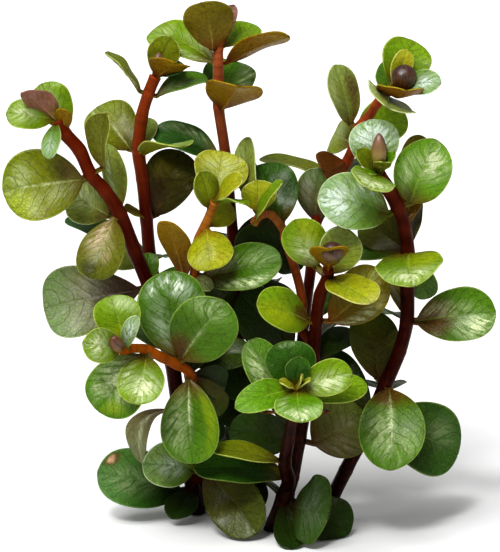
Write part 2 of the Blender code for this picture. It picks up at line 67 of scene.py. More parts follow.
LOG = logging.getLogger("toothcup")
BODY = "root"
MM = 0.001
FULLNESS = 1.15
PETIOLE_HALF = 0.5
CLUMP_HEIGHT = 78
LOWEST = 0.06
Triple = tuple[float, float, float]
Socket = bpy.types.NodeSocket


class Slot(Enum):
    """The record's material slots."""

    YELLOW = "yellow_leaf"
    LIME = "lime_leaf"
    GREEN = "green_leaf"
    OLIVE = "olive_leaf"
    DARK = "dark_leaf"
    PALE = "pale_leaf"
    STEM = "stem"


class MarkKind(Enum):
    """What a patch does to a leaf's colour, and the channel that carries it. Painted glare and painted shade
    stand for light; stain and glow are the leaf's own tones.
    """

    PAINTED_GLARE = 0
    STAIN = 1
    GLOW = 2
    SHADE = 3


@dataclass(frozen=True)
class Mark:
    """A soft patch on a leaf, by shares of its length and of its half width."""

    kind: MarkKind
    along: float
    across: float
    long: float = 0.25
    wide: float = 0.5
    strength: float = 0.8


def painted_glare(along: float, across: float, long: float = 0.25, wide: float = 0.5, strength: float = 0.8) -> Mark:
    """A painted highlight: a silver-white patch of glare and sheen."""
    return Mark(MarkKind.PAINTED_GLARE, along, across, long, wide, strength)


def stain(along: float, across: float, long: float = 0.25, wide: float = 0.5, strength: float = 0.8) -> Mark:
    """A brown patch, or the finish's own second colour."""
    return Mark(MarkKind.STAIN, along, across, long, wide, strength)


def glow(along: float, across: float, long: float = 0.25, wide: float = 0.5, strength: float = 0.8) -> Mark:
    """A yellow-green patch."""
    return Mark(MarkKind.GLOW, along, across, long, wide, strength)


def painted_shade(along: float, across: float, long: float = 0.25, wide: float = 0.5, strength: float = 0.8) -> Mark:
    """A painted shade: a dark patch where the leaf lies in shade."""
    return Mark(MarkKind.SHADE, along, across, long, wide, strength)


def linear(colour: Triple) -> tuple[float, float, float, float]:
    """A colour given as it looks, 0 to 255, as the light that it sends back.

    Args:
        colour: red, green and blue from 0 to 255.

    Returns:
        The linear colour with an alpha of 1.
    """
    def channel(value: float) -> float:
        """One of the three, made linear."""
        share = value / 255
        return share / 12.92 if share <= 0.04045 else ((share + 0.055) / 1.055) ** 2.4

    return (*(channel(value) for value in colour), 1.0)


@dataclass(frozen=True)
class LeafFinish:
    """The colours of one kind of leaf, as they look, and how it shines."""

    name: str
    slot: Slot
    stalk: Triple
    blade: Triple
    tip: Triple
    under: Triple
    rim: Triple = (196, 206, 120)
    vein: Triple = (148, 170, 78)
    stain: Triple = (84, 46, 12)
    glow: Triple = (150, 166, 14)
    # The colour of the painted glare.
    painted_glare: Triple = (214, 224, 176)
    rimming: float = 0.3
    veining: float = 0.4
    roughness: float = 0.36
    mottle: float = 0.14


YELLOW = LeafFinish(
    "yellow leaf", Slot.YELLOW, (130, 104, 8), (152, 158, 10), (180, 184, 48), (146, 134, 6),
    rim=(226, 226, 150), vein=(206, 204, 90), rimming=0.5,
)
LIME = LeafFinish(
    "lime leaf", Slot.LIME, (98, 80, 6), (104, 136, 2), (126, 162, 22), (126, 116, 6),
    rim=(206, 216, 120), vein=(158, 182, 66), rimming=0.4,
)
BRIGHT = replace(LIME, name="bright leaf", blade=(92, 140, 6), tip=(110, 162, 26), glow=(160, 176, 20))
GREEN = LeafFinish(
    "green leaf", Slot.GREEN, (96, 70, 8), (66, 104, 6), (82, 126, 24), (98, 94, 8),
    vein=(114, 146, 54), rimming=0.25,
)
# A green leaf whose painted glare is brighter and whiter.
GLARE_GREEN = replace(GREEN, name="wet green leaf", painted_glare=(236, 248, 228))
RICH = replace(
    GREEN, name="rich green leaf", blade=(40, 80, 6), tip=(54, 100, 20), vein=(84, 118, 42), rimming=0.15,
)
OLIVE = LeafFinish(
    "olive leaf", Slot.OLIVE, (108, 62, 8), (106, 92, 4), (124, 116, 8), (124, 98, 2),
    rim=(168, 150, 30), vein=(160, 138, 62), rimming=0.2,
)
# Partly the leaves' own dark green and partly painted shade, for leaves low and deep inside the clump.
DARK = LeafFinish(
    "dark leaf", Slot.DARK, (56, 40, 10), (50, 64, 8), (58, 84, 20), (66, 60, 10),
    rim=(84, 104, 40), vein=(66, 80, 34), glow=(58, 84, 8), painted_glare=(130, 142, 104), rimming=0.08, mottle=0.2,
)
PALE = LeafFinish(
    "pale leaf", Slot.PALE, (108, 88, 26), (124, 138, 48), (152, 170, 88), (132, 124, 44),
    rim=(218, 226, 178), vein=(172, 190, 124), rimming=0.45,
)
BROWNISH = replace(
    DARK, name="brownish dark leaf", stalk=(70, 44, 14), blade=(68, 70, 14), tip=(74, 88, 22),
    under=(70, 56, 6), vein=(92, 92, 44), painted_glare=(140, 130, 112), rimming=0.12,
)
GOLDEN = replace(
    OLIVE, name="golden leaf", stalk=(110, 52, 8), blade=(138, 104, 0), tip=(156, 124, 2),
    under=(140, 104, 0), rim=(176, 144, 10), vein=(184, 142, 50),
)
CHESTNUT = replace(
    OLIVE, name="chestnut leaf", stalk=(96, 40, 6), blade=(88, 46, 2), tip=(100, 58, 4),
    under=(92, 46, 2), rim=(126, 84, 20), vein=(114, 70, 22),
)
RUST = replace(
    OLIVE, name="rust leaf", stalk=(116, 50, 8), blade=(108, 62, 0), tip=(124, 84, 2),
    under=(114, 62, 2), rim=(190, 186, 40), vein=(146, 92, 38), rimming=0.5,
)
# Darker still: partly the leaves' own colour and partly painted shade, for the lowest and most hidden leaves.
DEEP = replace(
    DARK, name="deep leaf", stalk=(44, 30, 8), blade=(34, 52, 8), tip=(40, 68, 18),
    under=(36, 36, 8), rim=(56, 78, 34), vein=(50, 68, 28), glow=(34, 56, 8), rimming=0.05,
)
BLUE = replace(
    GREEN, name="bluish leaf", blade=(48, 94, 20), tip=(74, 124, 52), under=(74, 94, 38),
    rim=(136, 176, 120), vein=(98, 140, 84),
)
GROUND = replace(
    GREEN, name="ground leaf", stalk=(26, 50, 6), blade=(52, 96, 26), tip=(92, 134, 70),
    under=(64, 74, 30), rim=(150, 178, 128), vein=(108, 140, 86), stain=(222, 180, 140), glow=(96, 58, 30),
)
SILVER = replace(
    PALE, name="silver leaf", stalk=(92, 100, 10), blade=(108, 144, 50), tip=(146, 180, 116),
    rim=(220, 232, 190), vein=(86, 126, 56), painted_glare=(222, 236, 222), veining=0.5,
)
TAUPE = replace(
    OLIVE, name="taupe leaf", stalk=(122, 84, 34), blade=(114, 108, 72), tip=(118, 128, 84),
    under=(112, 94, 54), rim=(164, 152, 108), vein=(144, 132, 98),
)
GREY = replace(
    PALE, name="grey-green leaf", stalk=(96, 58, 42), blade=(106, 112, 64), tip=(104, 138, 76),
    stain=(84, 58, 42), vein=(164, 148, 122), painted_glare=(180, 176, 166), rimming=0.3,
)
ROSE = replace(
    OLIVE, name="rose leaf", stalk=(120, 100, 20), blade=(138, 96, 80), tip=(150, 106, 96),
    under=(136, 100, 84), rim=(176, 140, 116), vein=(172, 134, 100),
)
OLIVE_LIME = replace(
    LIME, name="olive-lime leaf", stalk=(90, 74, 10), blade=(108, 116, 0), tip=(116, 134, 8),
    under=(120, 112, 6), stain=(92, 78, 40), vein=(158, 168, 84),
)
MURKY = replace(
    OLIVE_LIME, name="murky olive leaf", stalk=(100, 86, 22), blade=(104, 106, 24), tip=(92, 100, 18),
    under=(104, 92, 6), painted_glare=(206, 182, 152), rimming=0.3,
)
FAN = replace(
    DARK, name="fan leaf", blade=(46, 72, 20), tip=(60, 92, 32), vein=(88, 106, 58), painted_glare=(120, 132, 108),
)
DARK_OLIVE = replace(
    DARK, name="dark olive leaf", blade=(92, 88, 30), tip=(50, 58, 4), stain=(88, 66, 44), vein=(116, 88, 50),
)
LOW_GREEN = replace(GREEN, name="low green leaf", blade=(40, 76, 14), tip=(50, 86, 26))


@dataclass
class Bench:
    """Holds one material and wires its nodes."""

    name: str

    def __post_init__(self) -> None:
        """Makes the material with its shader."""
        self.material = bpy.data.materials.new(self.name)
        self.material.use_nodes = True
        self.tree = self.material.node_tree
        self.shader = self.tree.nodes["Principled BSDF"]

    def node(self, kind: str, **settings: object) -> bpy.types.Node:
        """Adds a node with these settings."""
        made = self.tree.nodes.new(kind)
        for key, value in settings.items():
            setattr(made, key, value)
        return made

    def feed(self, socket: Socket, value: object) -> None:
        """Links a socket to a value's socket, or sets it to a plain value."""
        if isinstance(value, bpy.types.NodeSocket):
            self.tree.links.new(value, socket)
        else:
            socket.default_value = value

    def work(self, operation: str, *values: object) -> Socket:
        """One step of arithmetic.

        Args:
            operation: the Math node's operation.
            values: its numbers or sockets, in order.

        Returns:
            The result's socket.
        """
        made = self.node("ShaderNodeMath", operation=operation)
        for socket, value in zip(made.inputs, values):
            self.feed(socket, value)
        return made.outputs[0]

    def times(self, first: object, second: object) -> Socket:
        """The product of two values."""
        return self.work("MULTIPLY", first, second)

    def plus(self, first: object, second: object) -> Socket:
        """The sum of two values."""
        return self.work("ADD", first, second)

    def minus(self, first: object, second: object) -> Socket:
        """The first value less the second."""
        return self.work("SUBTRACT", first, second)

    def step(self, value: object, low: float, high: float, top: float = 1.0) -> Socket:
        """A smooth rise from 0 at low to top at high."""
        made = self.node("ShaderNodeMapRange", interpolation_type="SMOOTHSTEP")
        for name, number in (("Value", value), ("From Min", low), ("From Max", high), ("To Max", top)):
            self.feed(made.inputs[name], number)
        return made.outputs["Result"]

    def mix(self, share: object, first: object, second: object, blend: str = "MIX") -> Socket:
        """A blend of two colours.

        Args:
            share: how much of the second shows.
            first: a colour or its socket.
            second: a colour or its socket.
            blend: the way of mixing.

        Returns:
            The mixed colour's socket.
        """
        made = self.node("ShaderNodeMix", data_type="RGBA", blend_type=blend)
        self.feed(made.inputs["Factor"], share)
        self.feed(made.inputs[6], first)
        self.feed(made.inputs[7], second)
        return made.outputs[2]

    def toned(self, colour: Socket, tone: Triple) -> Socket:
        """A colour with its red, green and blue multiplied."""
        return self.mix(1.0, colour, (*tone, 1), "MULTIPLY")

    def noise(self, where: Socket, scale: float, detail: float = 2.0, warp: float = 0.0) -> Socket:
        """Cloudy noise, from 0 to 1."""
        made = self.node("ShaderNodeTexNoise")
        self.feed(made.inputs["Vector"], where)
        made.inputs["Scale"].default_value = scale
        made.inputs["Detail"].default_value = detail
        made.inputs["Distortion"].default_value = warp
        return made.outputs["Fac"]

    def combine(self, first: object, second: object, third: object = 0.0) -> Socket:
        """A vector from three numbers."""
        made = self.node("ShaderNodeCombineXYZ")
        for socket, value in zip(made.inputs, (first, second, third)):
            self.feed(socket, value)
        return made.outputs[0]

    def attribute(self, name: str) -> bpy.types.Node:
        """A value that the mesh carries."""
        return self.node("ShaderNodeAttribute", attribute_name=name)

    def bump(self, height: Socket, strength: float, distance: float) -> Socket:
        """A surface relief from a height."""
        made = self.node("ShaderNodeBump")
        made.inputs["Strength"].default_value = strength
        made.inputs["Distance"].default_value = distance
        self.feed(made.inputs["Height"], height)
        return made.outputs["Normal"]


class LeafPaint:
    """Makes and keeps the material of each leaf finish. Noise sizes are in waves per metre."""

    MOTTLE_WAVES = 260.0
    DULL_WAVES = 520.0
    GRAIN_WAVES = 1900.0
    SPECK_WAVES = 5200.0
    VEIN_WANDER_WAVES = 420.0
    VEIN_PAIRS = 7.0
    NET_CELLS = 22.0

    def __init__(self) -> None:
        """Starts with no material."""
        self.made: dict[str, bpy.types.Material] = {}

    def of(self, finish: LeafFinish) -> bpy.types.Material:
        """The material for a finish, made at its first use."""
        if finish.name not in self.made:
            self.made[finish.name] = self.paint(finish)
        return self.made[finish.name]

    def paint(self, finish: LeafFinish) -> bpy.types.Material:
        """A living leaf: a stalk, blade and tip colour, veins, painted glare and painted shade, a pale rim
        and a matt underside.

        Args:
            finish: the colours and shine.

        Returns:
            The material.
        """
        bench = Bench(finish.name)
        place = bench.node("ShaderNodeUVMap", uv_map="leaf").outputs[0]
        split = bench.node("ShaderNodeSeparateXYZ")
        bench.feed(split.inputs[0], place)
        along = split.outputs[0]
        across = bench.times(bench.minus(split.outputs[1], 0.5), 2.0)
        edge = bench.work("ABSOLUTE", across)
        solid = bench.node("ShaderNodeTexCoord").outputs["Object"]
        cloud = bench.noise(solid, self.MOTTLE_WAVES, 2.0)
        grain = bench.noise(solid, self.GRAIN_WAVES, 3.0)
        speck = bench.noise(solid, self.SPECK_WAVES, 2.0)
        # The marks carry painted glare in red, stains in green, glow in blue and painted shade in alpha.
        marks = bench.attribute("marks")
        channels = bench.node("ShaderNodeSeparateColor")
        bench.feed(channels.inputs[0], marks.outputs["Color"])
        under = bench.attribute("side").outputs["Fac"]
        colour = bench.attribute("tint").outputs["Color"]

        patchy = bench.step(cloud, 0.42, 0.68, finish.mottle * 2)
        colour = bench.mix(patchy, colour, bench.toned(colour, (1.5, 1.3, 0.8)))
        dull = bench.step(bench.noise(solid, self.DULL_WAVES, 3.0), 0.5, 0.72, 0.5)
        colour = bench.mix(dull, colour, bench.toned(colour, (0.72, 0.6, 0.5)))
        glowing = self.ragged(bench, channels.outputs[2], cloud, grain, 0.5)
        colour = bench.mix(glowing, colour, linear(finish.glow))
        stained = self.ragged(bench, channels.outputs[1], cloud, grain, 0.4)
        colour = bench.mix(stained, colour, linear(finish.stain))

        rib, veins, hollow, net = self.veins(bench, along, across, edge, solid)
        ribbed = bench.times(rib, finish.veining * 1.3)
        colour = bench.mix(bench.times(ribbed, bench.step(along, 1.0, 0.1)), colour, linear(finish.vein))
        drawn = bench.times(veins, bench.step(edge, 1.0, 0.4, finish.veining * 0.6))
        colour = bench.mix(drawn, colour, linear(finish.vein))
        colour = bench.mix(bench.times(net, 0.16), colour, linear(finish.vein))
        # Painted shade in the hollow beside each side vein and along the midrib's groove.
        painted_hollow_shade = bench.toned(colour, (0.5, 0.5, 0.4))
        colour = bench.mix(bench.times(hollow, bench.step(edge, 1.0, 0.5, 0.24)), colour, painted_hollow_shade)

        dusk = bench.toned(colour, (0.5, 0.5, 0.45))
        colour = bench.mix(bench.step(grain, 0.38, 0.72, 0.5), colour, dusk)
        light = bench.toned(colour, (1.7, 1.6, 1.5))
        colour = bench.mix(bench.step(speck, 0.5, 0.75, 0.35), colour, light)
        # Painted glare: a highlight painted on the upper side, broken up along the puckers and weaker in the
        # hollows.
        silver = bench.times(channels.outputs[0], bench.minus(1.0, under))
        silver = self.wrinkled(bench, silver, along, across, edge, grain)
        silver = bench.times(silver, bench.minus(1.0, bench.times(hollow, 0.5)))
        colour = bench.mix(silver, colour, linear(finish.painted_glare))
        # Painted shade: the alpha channel darkens the colour where the leaf lies in shade, and the pale rim
        # fades there too.
        dark = bench.toned(colour, (0.2, 0.2, 0.17))
        colour = bench.mix(marks.outputs["Alpha"], colour, dark)

        rim = bench.times(self.rim(bench, along, edge, under), finish.rimming)
        rim = bench.times(rim, bench.minus(1.0, bench.times(marks.outputs["Alpha"], 0.8)))
        colour = bench.mix(rim, colour, linear(finish.rim))
        bench.feed(bench.shader.inputs["Base Color"], colour)

        matt = bench.plus(bench.times(under, 0.18), bench.times(grain, 0.14))
        matt = bench.plus(matt, bench.times(silver, 0.12))
        bench.feed(bench.shader.inputs["Roughness"], bench.plus(matt, finish.roughness - 0.06))
        height = bench.plus(bench.times(hollow, -0.7), bench.times(cloud, 0.6))
        height = bench.plus(height, bench.times(net, -0.3))
        height = bench.plus(height, bench.times(grain, 0.45))
        bench.feed(bench.shader.inputs["Normal"], bench.bump(height, 0.75, 0.3 * MM))
        self.set_gloss(bench)
        return bench.material

    @staticmethod
    def set_gloss(bench: Bench) -> None:
        """The leaf's wax coat, and the light that its flesh lets through."""
        shader = bench.shader.inputs
        shader["Specular IOR Level"].default_value = 0.2
        shader["Specular Tint"].default_value = (1.0, 1.0, 0.6, 1.0)
        shader["Subsurface Weight"].default_value = 0.06
        shader["Subsurface Radius"].default_value = (0.7, 1.0, 0.25)
        shader["Subsurface Scale"].default_value = 0.4 * MM
        shader["Coat Weight"].default_value = 0.15
        shader["Coat Roughness"].default_value = 0.24
        shader["IOR"].default_value = 1.42

    @staticmethod
    def rim(bench: Bench, along: Socket, edge: Socket, under: Socket) -> Socket:
        """The pale line round the blade, at its margin, its end and the fold to the underside.

        Args:
            bench: the material in the making.
            along: share of the leaf's length.
            edge: 0 at the midrib and 1 at the margin.
            under: 0 on the upper side and 1 on the underside.

        Returns:
            The line's share, from 0 to 1.
        """
        margin = bench.times(bench.step(edge, 0.97, 1.0), bench.step(along, 0.05, 0.35))
        end = bench.times(bench.step(along, 0.98, 1.0), bench.step(edge, 0.2, 1.0))
        line = bench.work("MAXIMUM", margin, end)
        between = bench.work("ABSOLUTE", bench.minus(bench.times(under, 2.0), 1.0))
        fold = bench.step(bench.minus(1.0, between), 0.2, 0.9)
        return bench.work("MAXIMUM", line, bench.times(fold, bench.step(along, 0.02, 0.3)))

    @staticmethod
    def ragged(bench: Bench, amount: Socket, cloud: Socket, grain: Socket, raggedness: float) -> Socket:
        """A patch whose soft edge is broken up by the leaf's own mottling.

        Args:
            bench: the material in the making.
            amount: the patch, from 0 to 1.
            cloud: coarse noise.
            grain: fine noise.
            raggedness: how far the noise moves the edge.

        Returns:
            The broken patch, no stronger than the soft one.
        """
        noise = bench.plus(bench.times(cloud, 0.6), bench.times(grain, 0.4))
        moved = bench.plus(amount, bench.times(bench.minus(noise, 0.5), raggedness * 2))
        return bench.times(bench.step(moved, 0.1, 0.8), bench.work("POWER", amount, 0.5))

    @classmethod
    def veins(
        cls, bench: Bench, along: Socket, across: Socket, edge: Socket, solid: Socket
    ) -> tuple[Socket, Socket, Socket, Socket]:
        """The midrib, the side veins with the hollow beside each, and the net between them.

        Args:
            bench: the material in the making.
            along: share of the leaf's length.
            across: -1 to 1 over the width.
            edge: 0 at the midrib and 1 at the margin.
            solid: place in the object.

        Returns:
            Four masks, from 0 to 1.
        """
        wander = bench.times(bench.minus(bench.noise(solid, cls.VEIN_WANDER_WAVES, 1.0), 0.5), 0.16)
        thin = bench.minus(0.06, bench.times(along, 0.05))
        off = bench.work("ABSOLUTE", bench.plus(across, bench.times(wander, 0.35)))
        rib = bench.step(bench.minus(thin, off), -0.025, 0.025)
        sweep = bench.times(bench.work("POWER", edge, 1.25), 0.3)
        beat = bench.plus(bench.minus(along, sweep), wander)
        beat = bench.plus(beat, bench.times(bench.step(across, -0.01, 0.01), 0.06))
        wave = bench.work("PINGPONG", bench.times(beat, cls.VEIN_PAIRS), 0.5)
        side = bench.step(wave, 0.06, 0.0)
        late = bench.plus(beat, 0.014)
        beside = bench.work("PINGPONG", bench.times(late, cls.VEIN_PAIRS), 0.5)
        hollow = bench.step(beside, 0.055, 0.01)
        groove = bench.step(bench.minus(off, thin), 0.05, 0.0)
        hollow = bench.work("MAXIMUM", hollow, bench.times(groove, bench.step(along, 0.3, 0.7, 0.7)))
        cells = bench.node("ShaderNodeTexVoronoi", feature="DISTANCE_TO_EDGE")
        bench.feed(cells.inputs["Vector"], bench.combine(along, bench.times(across, 0.45)))
        cells.inputs["Scale"].default_value = cls.NET_CELLS
        net = bench.step(cells.outputs["Distance"], 0.09, 0.0)
        return rib, side, hollow, net

    @staticmethod
    def wrinkled(
        bench: Bench, amount: Socket, along: Socket, across: Socket, edge: Socket, grain: Socket
    ) -> Socket:
        """How the painted glare and sheen lie on the puckers that run with the side veins.

        Args:
            bench: the material in the making.
            amount: the patch, from 0 to 1.
            along: share of the leaf's length.
            across: -1 to 1 over the width.
            edge: 0 at the midrib and 1 at the margin.
            grain: fine noise.

        Returns:
            The painted glare's share, with crisp, irregular edges.
        """
        lean = bench.minus(along, bench.times(edge, 0.45))
        brushed = bench.combine(bench.times(lean, 9.0), bench.times(across, 1.8))
        broad = bench.minus(bench.noise(brushed, 1.3, 5.0, 0.5), 0.5)
        fine = bench.minus(grain, 0.5)
        rough = bench.plus(broad, bench.times(fine, 0.6))
        sheen = bench.step(bench.plus(0.5, bench.times(rough, 1.8)), 0.15, 0.85)
        sheen = bench.times(amount, bench.plus(0.1, bench.times(sheen, 0.66)))
        # Painted glare: crisp highlights where the patch is strongest.
        painted_wet_glare = bench.step(bench.plus(amount, bench.times(rough, 1.0)), 0.68, 1.0, 0.85)
        return bench.work("MAXIMUM", sheen, bench.times(painted_wet_glare, bench.step(amount, 0.4, 0.65)))


@dataclass(frozen=True)
class StemColours:
    """A stem's colours as they look, low, halfway and high, and between which shares of the height."""

    low: Triple
    middle: Triple
    high: Triple
    from_height: float
    to_height: float


@dataclass
class StemPaint:
    """The waxy skin of the stems, with paler nodes and darker leaf scars."""

    joint: Triple = (140, 60, 24)
    scar: Triple = (60, 22, 10)
    fibre: Triple = (136, 46, 22)

    def paint(self, name: str, skin: StemColours) -> bpy.types.Material:
        """One stem's material.

        Args:
            name: the material's name.
            skin: its colours from the foot to the tip.

        Returns:
            The material.
        """
        bench = Bench(name)
        place = bench.node("ShaderNodeUVMap", uv_map="skin").outputs[0]
        split = bench.node("ShaderNodeSeparateXYZ")
        bench.feed(split.inputs[0], place)
        solid = bench.node("ShaderNodeTexCoord").outputs["Object"]
        growth = bench.attribute("growth")
        channels = bench.node("ShaderNodeSeparateColor")
        bench.feed(channels.inputs[0], growth.outputs["Color"])
        rise, joint, scar = channels.outputs
        lines = bench.combine(bench.times(split.outputs[0], 0.35), bench.times(split.outputs[1], 9.0))
        fibre = bench.noise(lines, 2.2, 3.0)
        cloud = bench.noise(solid, 380.0, 3.0)
        halfway = (skin.from_height + skin.to_height) / 2
        colour = bench.mix(bench.step(rise, skin.from_height, halfway), linear(skin.low), linear(skin.middle))
        colour = bench.mix(bench.step(rise, halfway, skin.to_height), colour, linear(skin.high))
        colour = bench.mix(bench.times(bench.step(fibre, 0.45, 0.8), 0.2), colour, linear(self.fibre))
        shadow = bench.toned(colour, (0.45, 0.4, 0.4))
        colour = bench.mix(bench.step(cloud, 0.45, 0.75, 0.55), colour, shadow)
        lit = bench.times(joint, bench.step(rise, 0.3, 0.8, 0.22))
        colour = bench.mix(lit, colour, linear(self.joint))
        colour = bench.mix(bench.times(scar, 0.35), colour, linear(self.scar))
        bench.feed(bench.shader.inputs["Base Color"], colour)
        bench.feed(bench.shader.inputs["Roughness"], bench.plus(0.26, bench.times(cloud, 0.22)))
        height = bench.plus(bench.times(fibre, 0.6), bench.times(cloud, 0.5))
        bench.feed(bench.shader.inputs["Normal"], bench.bump(height, 0.45, 0.2 * MM))
        shader = bench.shader.inputs
        shader["Specular IOR Level"].default_value = 0.1
        shader["Specular Tint"].default_value = (1.0, 0.6, 0.4, 1.0)
        shader["Coat Weight"].default_value = 0.01
        shader["Coat Roughness"].default_value = 0.25
        shader["Subsurface Weight"].default_value = 0.06
        shader["Subsurface Radius"].default_value = (1.0, 0.25, 0.1)
        shader["Subsurface Scale"].default_value = 0.8 * MM
        return bench.material


@dataclass(frozen=True)
class BudFinish:
    """The colours of a closed shoot tip, from its foot to its top."""

    name: str
    foot: Triple
    top: Triple
    seam: Triple
    sheen: Triple = (170, 130, 120)

    def paint(self) -> bpy.types.Material:
        """The bud's material: clasped young leaves, with painted shade along their seams and a painted waxy
        sheen.
        """
        bench = Bench(self.name)
        place = bench.node("ShaderNodeUVMap", uv_map="skin").outputs[0]
        split = bench.node("ShaderNodeSeparateXYZ")
        bench.feed(split.inputs[0], place)
        solid = bench.node("ShaderNodeTexCoord").outputs["Object"]
        cloud = bench.noise(solid, 900.0, 3.0)
        seam = bench.attribute("seam").outputs["Fac"]
        lines = bench.combine(bench.times(split.outputs[0], 1.2), bench.times(split.outputs[1], 26.0))
        fibre = bench.noise(lines, 1.6, 3.0)
        colour = bench.mix(bench.step(split.outputs[0], 0.15, 0.8), linear(self.foot), linear(self.top))
        # Painted sheen: paler streaks along the fibres.
        colour = bench.mix(bench.step(fibre, 0.48, 0.72, 0.45), colour, linear(self.sheen))
        colour = bench.mix(bench.step(cloud, 0.5, 0.75, 0.4), colour, linear(self.seam))
        # Painted shade in the creases along the seams.
        colour = bench.mix(bench.times(seam, 0.85), colour, linear(self.seam))
        bench.feed(bench.shader.inputs["Base Color"], colour)
        bench.feed(bench.shader.inputs["Roughness"], bench.plus(0.3, bench.times(cloud, 0.2)))
        height = bench.plus(fibre, bench.times(cloud, 0.6))
        bench.feed(bench.shader.inputs["Normal"], bench.bump(height, 0.5, 0.15 * MM))
        bench.shader.inputs["Coat Weight"].default_value = 0.3
        bench.shader.inputs["Coat Roughness"].default_value = 0.22
        return bench.material


DARK_BUD = BudFinish("plum bud", (88, 66, 6), (62, 26, 16), (26, 10, 4), (150, 104, 92))
ROSE_BUD = BudFinish("rose bud", (130, 120, 14), (112, 74, 54), (62, 36, 24), (160, 122, 108))
BROWN_BUD = BudFinish("brown bud", (110, 80, 16), (92, 52, 26), (46, 22, 12), (150, 110, 90))


class MeshBuilder:
    """Turns points and faces into objects of the scene."""

    @staticmethod
    def tube_faces(rings: int, around: int) -> list[tuple[int, ...]]:
        """The faces of a tube closed at both ends.

        Args:
            rings: how many rings of corners it has.
            around: how many corners a ring has.

        Returns:
            Corner numbers, face by face.
        """
        grid = np.arange(rings * around).reshape(rings, around)
        faces = []
        for low, high in zip(grid[:-1], grid[1:]):
            for column in range(around):
                after = (column + 1) % around
                faces.append((low[column], low[after], high[after], high[column]))
        return [*faces, tuple(grid[0, ::-1]), tuple(grid[-1, :])]

    @staticmethod
    def keep_inside(points: np.ndarray) -> np.ndarray:
        """The points, pulled into the box of the solids where they pass it, in millimetres."""
        low, high = (np.array(corner) / MM for corner in CAD_BOX)
        return np.clip(points, low, high)

    @classmethod
    def build(
        cls,
        name: str,
        points: np.ndarray,
        faces: Sequence[Sequence[int]],
        uv_name: str,
        uv: np.ndarray,
        colours: dict[str, np.ndarray],
        shares: dict[str, np.ndarray],
        material: bpy.types.Material,
    ) -> bpy.types.Object:
        """A smooth mesh object that carries its own place and tint values.

        Args:
            name: the piece's name.
            points: its corners in millimetres.
            faces: corner numbers, face by face.
            uv_name: the name of its map.
            uv: the map's place of each corner.
            colours: four values a corner, by name.
            shares: one value a corner, by name.
            material: its finish.

        Returns:
            The new object.
        """
        mesh = bpy.data.meshes.new(name)
        mesh.from_pydata((cls.keep_inside(points) * MM).tolist(), [], [tuple(face) for face in faces])
        mesh.shade_smooth()
        corners = np.empty(len(mesh.loops), np.int32)
        mesh.loops.foreach_get("vertex_index", corners)
        layer = mesh.uv_layers.new(name=uv_name)
        layer.data.foreach_set("uv", uv[corners].astype(np.float32).ravel())
        for key, values in colours.items():
            carried = mesh.attributes.new(key, "FLOAT_COLOR", "POINT")
            carried.data.foreach_set("color", values.astype(np.float32).ravel())
        for key, values in shares.items():
            carried = mesh.attributes.new(key, "FLOAT", "POINT")
            carried.data.foreach_set("value", values.astype(np.float32))
        mesh.materials.append(material)
        mesh.validate()
        made = bpy.data.objects.new(name, mesh)
        bpy.context.scene.collection.objects.link(made)
        return made


def unit(vector: np.ndarray) -> np.ndarray:
    """Vectors of length one, along the last axis."""
    return vector / np.maximum(np.linalg.norm(vector, axis=-1, keepdims=True), 1e-9)


def smooth(share: np.ndarray) -> np.ndarray:
    """A soft rise from 0 to 1."""
    held = np.clip(share, 0, 1)
    return held * held * (3 - 2 * held)


def width_share(share: np.ndarray, widest: float) -> np.ndarray:
    """The width of a leaf at these shares of its length, where 1 is its full width."""
    rise = (share / widest) ** (FULLNESS * widest)
    fall = ((1 - share) / (1 - widest)) ** (FULLNESS * (1 - widest))
    return rise * fall


